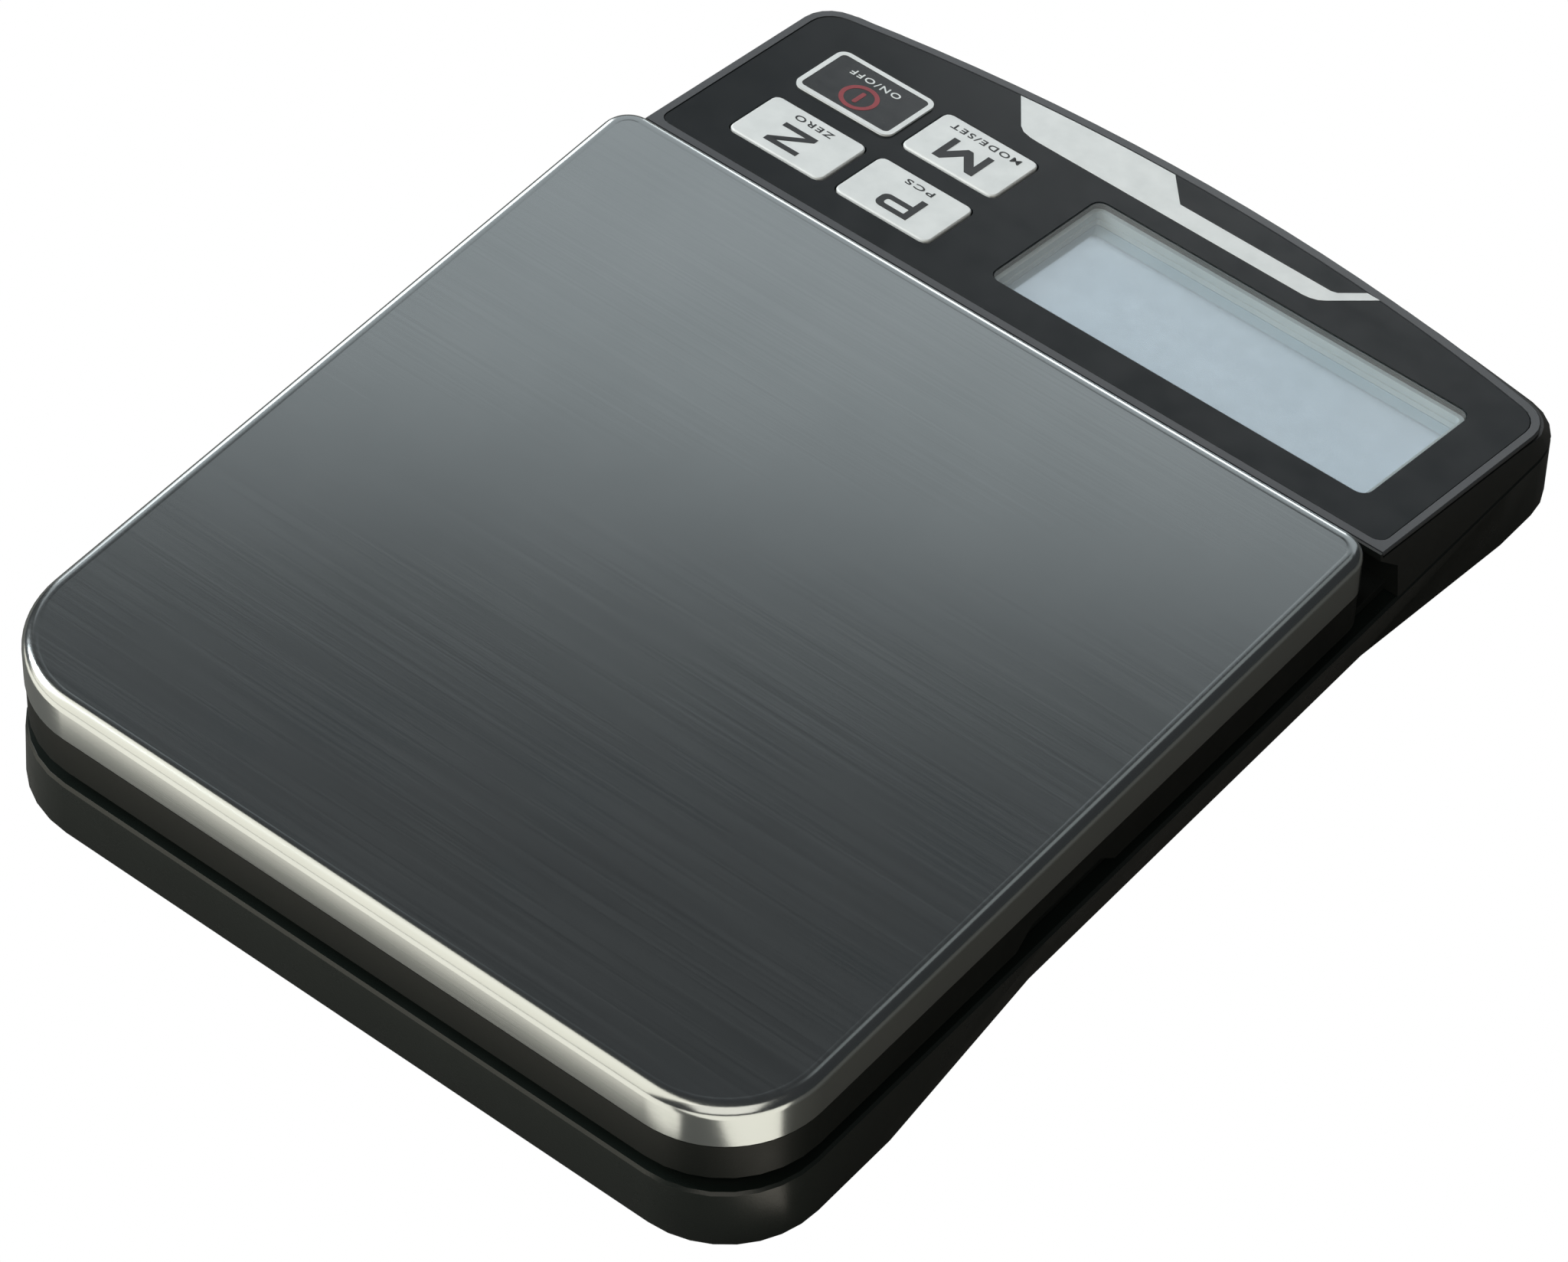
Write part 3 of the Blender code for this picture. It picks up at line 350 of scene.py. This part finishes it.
def window_clear():
    """Clear acrylic: nearly all of it lets light through, and the gloss stays."""
    made = Surface("window_acrylic")
    made.colour(made.noise(40.0, 2.0), (0.72, 0.80, 0.84), (0.86, 0.92, 0.95))
    made.rough(made.noise(120.0, 2.0), 0.04, 0.09)
    made.material.surface_render_method = "BLENDED"
    return made.set("Alpha", 0.10)


def display_glass():
    """Reflective liquid-crystal panel, unlit: a cool grey polariser, with painted light that brightens it
    towards the tray and painted shade that darkens it towards the front.
    """
    made = Surface("display_panel", metallic=0.78)
    # Painted light and shade: the ramp across the panel makes its colour lighter towards the tray and darker
    # towards the front.
    tone = made.ramp(made.across("lcd_glass", "Y"),
                     [(0.0, (0.62, 0.73, 0.81)), (0.5, (0.66, 0.77, 0.86)), (1.0, (0.69, 0.81, 0.90))])
    made.links.new(tone, made.shader.inputs["Base Color"])
    made.rough(made.noise(300.0, 2.0), 0.11, 0.15)
    made.bump(made.noise(900.0, 2.0), 0.000001)
    return made


def well_plastic():
    return moulded("well_plastic", (0.33, 0.40, 0.43), (0.38, 0.45, 0.48), (0.30, 0.42), grain=0.000003)


def key_white():
    return printed("key_white", (0.72, 0.77, 0.79), (0.80, 0.85, 0.87))


def key_black():
    return printed("key_black", (0.0085, 0.0120, 0.0140), (0.0130, 0.0165, 0.0190), (0.18, 0.28))


def ink_white():
    return printed("ink_white", (0.72, 0.77, 0.79), (0.80, 0.85, 0.87))


def ink_dark():
    return printed("ink_dark", (0.0060, 0.0085, 0.0100), (0.0095, 0.0125, 0.0145))


def ink_red():
    return printed("ink_red", (0.22, 0.022, 0.032), (0.30, 0.034, 0.046))


def rubber():
    return moulded("foot_rubber", (0.014, 0.014, 0.013), (0.024, 0.023, 0.022), (0.70, 0.88), grain=0.000030)


def zinc_steel():
    """Zinc-plated steel, dull and slightly mottled."""
    made = Surface("zinc_steel", metallic=1.0)
    made.colour(made.noise(500.0, 3.0), (0.42, 0.43, 0.44), (0.58, 0.58, 0.57))
    made.rough(made.noise(900.0, 3.0), 0.26, 0.42)
    made.bump(made.noise(2400.0, 2.0), 0.000005)
    return made


def cell_aluminium():
    return brushed("cell_aluminium", (0.62, 0.63, 0.64), (0.72, 0.73, 0.74), (0.30, 0.42),
                   height=0.000003, grain=(1400.0, 60.0, 1400.0))


def board_green():
    """Solder mask over copper: tracks show as slightly lighter, raised bands."""
    made = Surface("board_green")
    tracks = made.nodes.new("ShaderNodeTexBrick")
    tracks.inputs["Scale"].default_value = 260.0
    tracks.inputs["Mortar Size"].default_value = 0.05
    tracks.inputs["Color1"].default_value = (0.018, 0.120, 0.050, 1.0)
    tracks.inputs["Color2"].default_value = (0.024, 0.150, 0.062, 1.0)
    tracks.inputs["Mortar"].default_value = (0.050, 0.220, 0.090, 1.0)
    made.links.new(made.place, tracks.inputs["Vector"])
    made.links.new(tracks.outputs["Color"], made.shader.inputs["Base Color"])
    made.rough(made.noise(300.0), 0.28, 0.40)
    made.bump(tracks.outputs["Fac"], 0.000020)
    return made


def frame_white():
    return moulded("frame_white", (0.62, 0.62, 0.58), (0.74, 0.74, 0.71), (0.35, 0.48))


def strip_rubber():
    return moulded("strip_rubber", (0.030, 0.030, 0.032), (0.050, 0.050, 0.052), (0.60, 0.75))


def battery_sleeve():
    """A dark wrap with a copper-coloured shoulder at one end."""
    made = Surface("battery_sleeve")
    tone = made.ramp(made.across("battery_1", "X"),
                     [(0.0, (0.020, 0.020, 0.022)), (0.66, (0.024, 0.024, 0.026)),
                      (0.70, (0.62, 0.34, 0.12)), (1.0, (0.66, 0.37, 0.14))])
    made.links.new(tone, made.shader.inputs["Base Color"])
    made.rough(made.noise(350.0), 0.22, 0.34)
    made.bump(made.noise(500.0), 0.000008)
    return made


def cable_vinyl():
    return moulded("cable_vinyl", (0.26, 0.020, 0.016), (0.34, 0.030, 0.024), (0.38, 0.50))


# ---------------------------------------------------------------- mesh helpers

def add_piece(name, mesh, surface, body, matrix=Matrix()):
    """A visible piece that rides on that body, made from a bmesh moved by that matrix."""
    mesh.transform(matrix)
    bmesh.ops.recalc_face_normals(mesh, faces=mesh.faces)
    data = bpy.data.meshes.new(name)
    mesh.to_mesh(data)
    mesh.free()
    # A copied CAD mesh keeps its own facet normals, which would undo the smoothing below.
    if "custom_normal" in data.attributes:
        data.attributes.remove(data.attributes["custom_normal"])
    data.materials.append(surface.material)
    data.shade_smooth()
    data.set_sharp_from_angle(angle=SMOOTH_ANGLE)
    made = bpy.data.objects.new(name, data)
    bpy.context.scene.collection.objects.link(made)
    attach(made, body)
    return made


def weight_normals(piece):
    """Weights a piece's normals by the size of its faces, so that its flats look flat."""
    weighted = piece.modifiers.new("weighted_normals", "WEIGHTED_NORMAL")
    weighted.keep_sharp = True


def soften(piece, width):
    """Rounds a piece's edges to that width."""
    edge = piece.modifiers.new("soft_edges", "BEVEL")
    edge.width = width
    edge.segments = SOFT_EDGE_SEGMENTS
    edge.limit_method = "ANGLE"
    edge.angle_limit = SOFT_EDGE_ANGLE
    edge.use_clamp_overlap = True
    weight_normals(piece)


def skin(node, surface, edge=0.0):
    """A smooth copy of a CAD node that stands for it, with its edges rounded to that width."""
    mesh = bmesh.new()
    mesh.from_mesh(NODES[node].data)
    bmesh.ops.remove_doubles(mesh, verts=mesh.verts, dist=WELD_DISTANCE)
    bmesh.ops.dissolve_limit(mesh, angle_limit=FLAT_ANGLE, verts=mesh.verts, edges=mesh.edges)
    made = add_piece(node + "_skin", mesh, surface, NODES[node]["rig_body"])
    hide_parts(node)
    if edge:
        soften(made, edge)


def arc(centre, radius, start, end, steps):
    """Points on a circle from one angle to another, both ends included."""
    angles = [start + (end - start) * i / steps for i in range(steps + 1)]
    return [(centre[0] + radius * math.cos(a), centre[1] + radius * math.sin(a)) for a in angles]


def rounded_rectangle(low, high, front_radius, rear_radius, steps):
    """Anticlockwise outline; the front corners are the two at the lower y."""
    front_y = low[1] + front_radius
    rear_y = high[1] - rear_radius
    outline = arc((high[0] - front_radius, front_y), front_radius, -QUARTER, 0, steps)
    outline += arc((high[0] - rear_radius, rear_y), rear_radius, 0, QUARTER, steps)
    outline += arc((low[0] + rear_radius, rear_y), rear_radius, QUARTER, 2 * QUARTER, steps)
    outline += arc((low[0] + front_radius, front_y), front_radius, 2 * QUARTER, 3 * QUARTER, steps)
    return outline


def widened(low, high, margin, radius):
    """A rectangle grown by that margin, with corners that keep their centres."""
    grown = radius + margin
    return rounded_rectangle((low.x - margin, low.y - margin), (high.x + margin, high.y + margin),
                             grown, grown, SMALL_CORNER_STEPS)


def ring_at(outline, z):
    """An outline's points at one height."""
    return [(x, y, z) for x, y in outline]


def loft(rings, closed=False):
    """Skins rings of equal length, then caps both ends or, when closed, joins the last ring to the first."""
    mesh = bmesh.new()
    loops = [[mesh.verts.new(point) for point in ring] for ring in rings]
    count = len(loops[0])
    pairs = list(zip(loops, loops[1:])) + ([(loops[-1], loops[0])] if closed else [])
    for low, high in pairs:
        for i in range(count):
            j = (i + 1) % count
            mesh.faces.new((low[i], low[j], high[j], high[i]))
    if not closed:
        mesh.faces.new(list(reversed(loops[0])))
        mesh.faces.new(loops[-1])
    return mesh


def plate(outline, low, high):
    """A flat plate of that outline between two heights."""
    return loft([ring_at(outline, low), ring_at(outline, high)])


# ---------------------------------------------------------------- weighing tray

def tray_ring(inset, z):
    """The tray's outline at one height, moved inwards by that inset."""
    low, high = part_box("weighing_tray")
    outline = rounded_rectangle((low.x + inset, low.y + inset), (high.x - inset, high.y - inset),
                                TRAY_FRONT_RADIUS - inset, TRAY_REAR_RADIUS - inset, TRAY_CORNER_STEPS)
    return ring_at(outline, z)


def roll_rings(inset, top, radius, steps):
    """Rings up over the pan's rolled edge, from its apron to its flat."""
    turns = [QUARTER * i / steps for i in range(steps + 1)]
    return [tray_ring(inset + radius * (1 - math.cos(a)), top - radius + radius * math.sin(a)) for a in turns]


def tray_pan():
    """One folded sheet: hemmed rim, apron, roll, a fine crease where the flat begins, and the flat."""
    low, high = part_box("weighing_tray")
    rim, top = low.z, high.z
    under = roll_rings(TRAY_SHEET, top - TRAY_SHEET, TRAY_ROLL - TRAY_SHEET, TRAY_INNER_ROLL_STEPS)
    inner_rim = [tray_ring(TRAY_SHEET, rim + TRAY_HEM), tray_ring(TRAY_SHEET - TRAY_HEM, rim)]
    hem = [tray_ring(TRAY_HEM, rim), tray_ring(TRAY_HEM_BEND, rim + TRAY_HEM_BEND),
           tray_ring(0.0, rim + TRAY_HEM)]
    roll = roll_rings(0.0, top, TRAY_ROLL, TRAY_ROLL_STEPS)
    crease = [tray_ring(CREASE_INSET, top), tray_ring(CREASE_INSET + CREASE_WIDTH / 2, top - CREASE_DEPTH),
              tray_ring(CREASE_INSET + CREASE_WIDTH, top)]
    rings = list(reversed(under)) + inner_rim + hem + roll + crease
    pan = add_piece("tray_pan", loft(rings), tray_steel(), "tray")
    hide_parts("weighing_tray")
    weight_normals(pan)


# ---------------------------------------------------------------- label graphics

def label_front_v(x):
    """The label's arched front edge at that x."""
    return label_span("front_label")[0].y + LABEL_ARC_RADIUS - math.sqrt(LABEL_ARC_RADIUS**2 - x**2)


def corner_points(corner, v):
    """The points of one of the strip's corners, at that v."""
    x, offsets = corner
    return [(x + across, v + up) for across, up in offsets]


def strip_outline():
    """The plain white band along the label's front: wide on the right, narrow on the left down to a leg."""
    leg_v = label_front_v(STRIP_LEFT_X) + STRIP_FRONT_MARGIN
    outline = []
    for i in range(STRIP_FRONT_STEPS + 1):
        x = STRIP_WIDE_LEFT_X + (STRIP_RIGHT_X - STRIP_WIDE_LEFT_X) * i / STRIP_FRONT_STEPS
        outline.append((x, label_front_v(x) + STRIP_FRONT_MARGIN))
    outline += corner_points(STRIP_RIGHT_SHOULDER, STRIP_BACK_V)
    outline += corner_points(STRIP_LEFT_SHOULDER, STRIP_BACK_V)
    outline += [(STRIP_LEFT_X - STRIP_LEG_WIDTH, leg_v), (STRIP_LEFT_X, leg_v)]
    outline += corner_points(STRIP_NOTCH_CORNER, STRIP_NOTCH_V)
    outline += [(STRIP_NOTCH_RIGHT_X, STRIP_NOTCH_V)]
    return outline


def label_print():
    """The strip, as a thin layer of ink on the label."""
    top = label_span("front_label")[1].z
    strip = plate(strip_outline(), top, top + PRINT_THICKNESS)
    add_piece("label_strip", strip, ink_white(), "base", LABEL_FRAME)


def raised_ink(name, curve, node, surface, fit=None):
    """Raised ink in the shape of a flat filled curve on top of a key; fit gives the x and v spans to fill."""
    writer = bpy.data.objects.new(name + "_writer", curve)
    bpy.context.scene.collection.objects.link(writer)
    bpy.context.view_layer.update()
    mesh = bmesh.new()
    mesh.from_mesh(writer.to_mesh())
    bpy.data.objects.remove(writer)
    bmesh.ops.remove_doubles(mesh, verts=mesh.verts, dist=INK_WELD_DISTANCE)
    top = label_span(node)[1].z
    if fit:
        low = [min(vertex.co[i] for vertex in mesh.verts) for i in (0, 1)]
        high = [max(vertex.co[i] for vertex in mesh.verts) for i in (0, 1)]
        for vertex in mesh.verts:
            for i in (0, 1):
                share = (vertex.co[i] - low[i]) / (high[i] - low[i])
                vertex.co[i] = fit[i][0] + (fit[i][1] - fit[i][0]) * share
    for vertex in mesh.verts:
        vertex.co.z = top
    raised = bmesh.ops.extrude_face_region(mesh, geom=mesh.faces[:])["geom"]
    for vertex in raised:
        if isinstance(vertex, bmesh.types.BMVert):
            vertex.co.z += PRINT_THICKNESS
    add_piece(name, mesh, surface, NODES[node]["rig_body"], LABEL_FRAME)


def typed(name, text):
    """A word in the plain built-in face, as a filled curve."""
    curve = bpy.data.curves.new(name, "FONT")
    curve.body = text
    curve.resolution_u = WORD_CURVE_STEPS
    curve.offset = WORD_BOLDNESS
    curve.space_character = WORD_SPACING
    return curve


def drawn(name, outlines):
    """Closed outlines in the label's plane as one filled curve; an inner outline cuts a hole."""
    curve = bpy.data.curves.new(name, "CURVE")
    curve.dimensions = "2D"
    curve.fill_mode = "BOTH"
    for outline in outlines:
        spline = curve.splines.new("POLY")
        spline.points.add(len(outline) - 1)
        for point, (x, v) in zip(spline.points, outline):
            point.co = (x, v, 0.0, 1.0)
        spline.use_cyclic_u = True
    return curve


def letter_z():
    """Two bars and a diagonal."""
    (left, foot), (right, head) = Z_SPAN
    low_bar = foot + LETTER_BAR
    high_bar = head - LETTER_BAR
    return [[(left, foot), (right, foot), (right, low_bar), (left + Z_DIAGONAL, low_bar), (right, high_bar),
             (right, head), (left, head), (left, high_bar), (right - Z_DIAGONAL, high_bar), (left, low_bar)]]


def letter_m():
    """Two upright strokes and two diagonals of equal weight that meet above the foot."""
    (left, foot), (right, head) = M_SPAN
    middle = (left + right) / 2
    left_stem = left + LETTER_STROKE
    right_stem = right - LETTER_STROKE
    slope = (head - M_POINT_V) / (middle - left)
    notch = head - slope * (middle - left - M_DIAGONAL)
    inside = M_POINT_V + slope * (middle - M_POINT_HALF_WIDTH - left - LETTER_STROKE)
    return [[(left, foot), (left_stem, foot), (left_stem, inside),
             (middle - M_POINT_HALF_WIDTH, M_POINT_V), (middle + M_POINT_HALF_WIDTH, M_POINT_V),
             (right_stem, inside), (right_stem, foot), (right, foot), (right, head),
             (right - M_DIAGONAL, head), (middle, notch), (left + M_DIAGONAL, head), (left, head)]]


def letter_p():
    """A stem and a squarish bowl with rounded right-hand corners."""
    (left, foot), (right, head) = P_SPAN
    stem = left + LETTER_STROKE
    outer_x = right - P_BOWL_RADIUS
    outer = [(left, head), (left, foot), (stem, foot), (stem, P_BOWL_V)]
    outer += arc((outer_x, P_BOWL_V + P_BOWL_RADIUS), P_BOWL_RADIUS, -QUARTER, 0, P_BOWL_STEPS)
    outer += arc((outer_x, head - P_BOWL_RADIUS), P_BOWL_RADIUS, 0, QUARTER, P_BOWL_STEPS)
    hole_x = right - LETTER_STROKE - P_HOLE_RADIUS
    hole = [(stem, head - LETTER_BAR), (stem, P_BOWL_V + LETTER_BAR)]
    hole += arc((hole_x, P_BOWL_V + LETTER_BAR + P_HOLE_RADIUS), P_HOLE_RADIUS, -QUARTER, 0, P_HOLE_STEPS)
    hole += arc((hole_x, head - LETTER_BAR - P_HOLE_RADIUS), P_HOLE_RADIUS, 0, QUARTER, P_HOLE_STEPS)
    return [outer, hole]


def legends():
    """Each white key's letter and every key's word."""
    dark = ink_dark()
    white = ink_white()
    for node, outlines in (("key_zero", letter_z()), ("key_mode", letter_m()), ("key_pieces", letter_p())):
        name = node.replace("key_", "letter_")
        raised_ink(name, drawn(name, outlines), node, dark)
    for node, word, x, v in WORDS:
        name = node.replace("key_", "word_")
        ink, slot = (white, "white_key") if node == "key_power" else (dark, "black_key")
        raised_ink(name, typed(name, word), node, ink, (x, v))


def power_frame():
    """The white frame that stands on the label around the power key and laps over its edge, clear of it."""
    low, high = label_span("key_power")
    film_top = label_span("front_label")[1].z
    lap_low = high.z + POWER_FRAME_CLEARANCE
    lap_high = lap_low + PRINT_THICKNESS
    profile = [(POWER_FRAME_OUT, film_top), (POWER_FRAME_OUT, lap_high), (POWER_FRAME_IN, lap_high),
               (POWER_FRAME_IN, lap_low), (POWER_FRAME_LEG_IN, lap_low), (POWER_FRAME_LEG_IN, film_top)]
    rings = [ring_at(widened(low, high, margin, POWER_KEY_RADIUS), w) for margin, w in profile]
    add_piece("power_frame", loft(rings, closed=True), ink_white(), "base", LABEL_FRAME)


def power_symbol():
    """The red ring and bar on the power key."""
    low, high = label_span("key_power")
    x = (low.x + high.x) / 2 + POWER_SYMBOL_X
    v = (low.y + high.y) / 2 + POWER_SYMBOL_V
    foot, top = high.z, high.z + PRINT_THICKNESS
    turns = [2 * math.pi * i / POWER_RING_STEPS for i in range(POWER_RING_STEPS)]
    profile = [(POWER_RING_RADIUS, foot), (POWER_RING_RADIUS, top),
               (POWER_RING_HOLE_RADIUS, top), (POWER_RING_HOLE_RADIUS, foot)]
    rings = []
    for radius, w in profile:
        rings.append([(x + radius * math.cos(a), v + radius * math.sin(a), w) for a in turns])
    red = ink_red()
    add_piece("power_ring", loft(rings, closed=True), red, "power_key", LABEL_FRAME)
    bar = rounded_rectangle((x - POWER_BAR_HALF_WIDTH, v - POWER_BAR_HALF_HEIGHT),
                            (x + POWER_BAR_HALF_WIDTH, v + POWER_BAR_HALF_HEIGHT),
                            POWER_BAR_RADIUS, POWER_BAR_RADIUS, POWER_BAR_CORNER_STEPS)
    add_piece("power_bar", plate(bar, foot, top), red, "power_key", LABEL_FRAME)


def keys():
    """The four keys with their letters, words and power symbol."""
    white = key_white()
    for node in ("key_zero", "key_mode", "key_pieces"):
        skin(node, white, edge=0.00006)
    skin("key_power", key_black(), edge=0.00006)
    legends()
    power_frame()
    power_symbol()


# ---------------------------------------------------------------- display

def display_well():
    """The grey lining between the window and the display: a flange under the window, a step and a wall."""
    low, high = label_span("lcd_window")
    glass_top = label_span("lcd_glass")[1].z
    flange_top = low.z - WELL_FLANGE_TOP_GAP
    flange_low = low.z - WELL_FLANGE_LOW_GAP
    step = (flange_low + glass_top) / 2
    foot = glass_top + WELL_FOOT_GAP
    profile = [(WELL_FLANGE_OUT, flange_low), (WELL_FLANGE_OUT, flange_top),
               (WELL_FLANGE_IN, flange_top), (WELL_FLANGE_IN - WELL_NECK_TAPER, step),
               (WELL_STEP_IN, step - WELL_STEP_SLOPE), (WELL_STEP_IN, foot),
               (WELL_WALL_OUT, foot), (WELL_WALL_OUT, flange_low)]
    rings = [ring_at(widened(low, high, margin, WINDOW_RADIUS), w) for margin, w in profile]
    add_piece("display_well", loft(rings, closed=True), well_plastic(), "base", LABEL_FRAME)


def display():
    """The window, the panel and what they stand on, down to the board."""
    skin("lcd_window", window_clear(), edge=0.00012)
    skin("lcd_glass", display_glass(), edge=0.00008)
    display_well()
    white = frame_white()
    skin("lcd_frame", white, edge=0.00010)
    skin("lcd_backlight", white, edge=0.00010)
    skin("connector_strip", strip_rubber(), edge=0.00008)
    skin("main_board", board_green(), edge=0.00006)
    # The chip's dark epoxy passes for the strip's rubber.
    skin("main_chip", strip_rubber(), edge=0.00010)


# ---------------------------------------------------------------- housings, fittings and insides

def housings():
    """The plastic shells, the label's bezel and film, and the battery door."""
    skin("base_shell", base_plastic(), edge=0.00022)
    skin("upper_housing", head_plastic(), edge=0.00018)
    skin("platform_carrier", skirt_plastic(), edge=0.00018)
    skin("label_bezel", bezel_plastic(), edge=0.00018)
    skin("front_label", label_film(), edge=0.00004)
    skin("battery_door", base_plastic(), edge=0.00015)


def insides():
    """The load cell, fasteners, springs, domes, feet, batteries and cables."""
    zinc = zinc_steel()
    sleeve = battery_sleeve()
    vinyl = cable_vinyl()
    foot = rubber()
    plated = ("housing_screw", "cell_base", "cell_top", "battery_spring", "battery_contact", "dome_")
    skin("load_cell", cell_aluminium(), edge=0.00025)
    for node in sorted(NODES):
        if node.startswith(plated):
            skin(node, zinc, edge=0.00006)
        elif node.startswith("foot_"):
            skin(node, foot, edge=0.00015)
        elif node in ("battery_1", "battery_2", "battery_3"):
            skin(node, sleeve, edge=0.00010)
        elif node in ("cell_cable", "battery_lead"):
            skin(node, vinyl)


# ---------------------------------------------------------------- camera, lights and floor

def add_camera():
    """From behind the tray's left corner, looking down on the scale through a long lens."""
    azimuth = math.radians(217.64)
    elevation = math.radians(48.29)
    roll = math.radians(1.893)
    distance = 1.1135
    back = Vector((math.sin(azimuth) * math.cos(elevation), -math.cos(azimuth) * math.cos(elevation),
                   math.sin(elevation)))
    target = Vector((0.0011, 0.0031, 0.0))
    data = bpy.data.cameras.new("camera")
    data.lens = 169.33
    data.sensor_width = 36.0
    data.clip_start = 0.05
    data.clip_end = 20.0
    camera = bpy.data.objects.new("camera", data)
    bpy.context.scene.collection.objects.link(camera)
    turn = back.to_track_quat("Z", "Y").to_matrix().to_4x4() @ Matrix.Rotation(roll, 4, "Z")
    camera.matrix_world = Matrix.Translation(target + back * distance) @ turn
    bpy.context.scene.camera = camera


def softbox(name, place, target, size, radiance, colour):
    """A rectangular light that shows that radiance in a mirror."""
    data = bpy.data.lights.new(name, "AREA")
    data.shape = "RECTANGLE"
    data.size, data.size_y = size
    data.energy = radiance * math.pi * size[0] * size[1]
    data.color = colour
    light = bpy.data.objects.new(name, data)
    bpy.context.scene.collection.objects.link(light)
    facing = (Vector(target) - Vector(place)).to_track_quat("-Z", "Y").to_matrix().to_4x4()
    light.matrix_world = Matrix.Translation(Vector(place)) @ facing


def stage_paint(name, albedo, glow):
    """Stage paint that the camera sees as plain white; the scale reflects that albedo and that glow."""
    made = bpy.data.materials.new(name)
    made.use_nodes = True
    nodes, links = made.node_tree.nodes, made.node_tree.links
    shader = nodes["Principled BSDF"]
    shader.inputs["Base Color"].default_value = (*albedo, 1.0)
    shader.inputs["Roughness"].default_value = 0.9
    shader.inputs["Specular IOR Level"].default_value = 0.0
    shader.inputs["Emission Color"].default_value = (*CARD_GLOW_COLOUR, 1.0)
    shader.inputs["Emission Strength"].default_value = glow
    white = nodes.new("ShaderNodeEmission")
    mix = nodes.new("ShaderNodeMixShader")
    ray = nodes.new("ShaderNodeLightPath")
    links.new(ray.outputs["Is Camera Ray"], mix.inputs["Fac"])
    links.new(shader.outputs["BSDF"], mix.inputs[1])
    links.new(white.outputs["Emission"], mix.inputs[2])
    links.new(mix.outputs["Shader"], nodes["Material Output"].inputs["Surface"])
    return made


def stage_plane(name, low, high, z, paint):
    """A level rectangle of the stage between two corners."""
    corners = [(low[0], low[1], z), (high[0], low[1], z), (high[0], high[1], z), (low[0], high[1], z)]
    mesh = bpy.data.meshes.new(name)
    mesh.from_pydata(corners, [], [(0, 1, 2, 3)])
    mesh.materials.append(paint)
    made = bpy.data.objects.new(name, mesh)
    bpy.context.scene.collection.objects.link(made)


def clear_startup():
    """Removes the objects that Blender starts with."""
    for startup_object in ("Cube", "Light", "Camera"):
        if startup_object in bpy.data.objects:
            bpy.data.objects.remove(bpy.data.objects[startup_object])


def dim_world():
    """A faint, cool, even light from all round."""
    world = bpy.data.worlds.new("studio")
    world.use_nodes = True
    background = world.node_tree.nodes["Background"]
    background.inputs["Color"].default_value = (0.93, 0.97, 1.0, 1.0)
    background.inputs["Strength"].default_value = 0.05
    bpy.context.scene.world = world
    bpy.context.scene.view_settings.view_transform = "Standard"


def studio():
    """The plain floor, two glowing cards behind the scale for its sides to mirror, and the lights."""
    clear_startup()
    dim_world()
    stage_plane("floor", *FLOOR, FLOOR_Z, stage_paint("floor_pale", STAGE_ALBEDO, 0.0))
    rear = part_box("weighing_tray")[1].y
    card = stage_paint("card_pale", STAGE_ALBEDO, CARD_GLOW)
    for name, low, high in CARDS:
        stage_plane(name, (low[0], rear + low[1]), (high[0], rear + high[1]), CARD_Z, card)
    for light in LIGHTS:
        softbox(*light)


studio()
add_camera()
tray_pan()
housings()
label_print()
display()
keys()
insides()
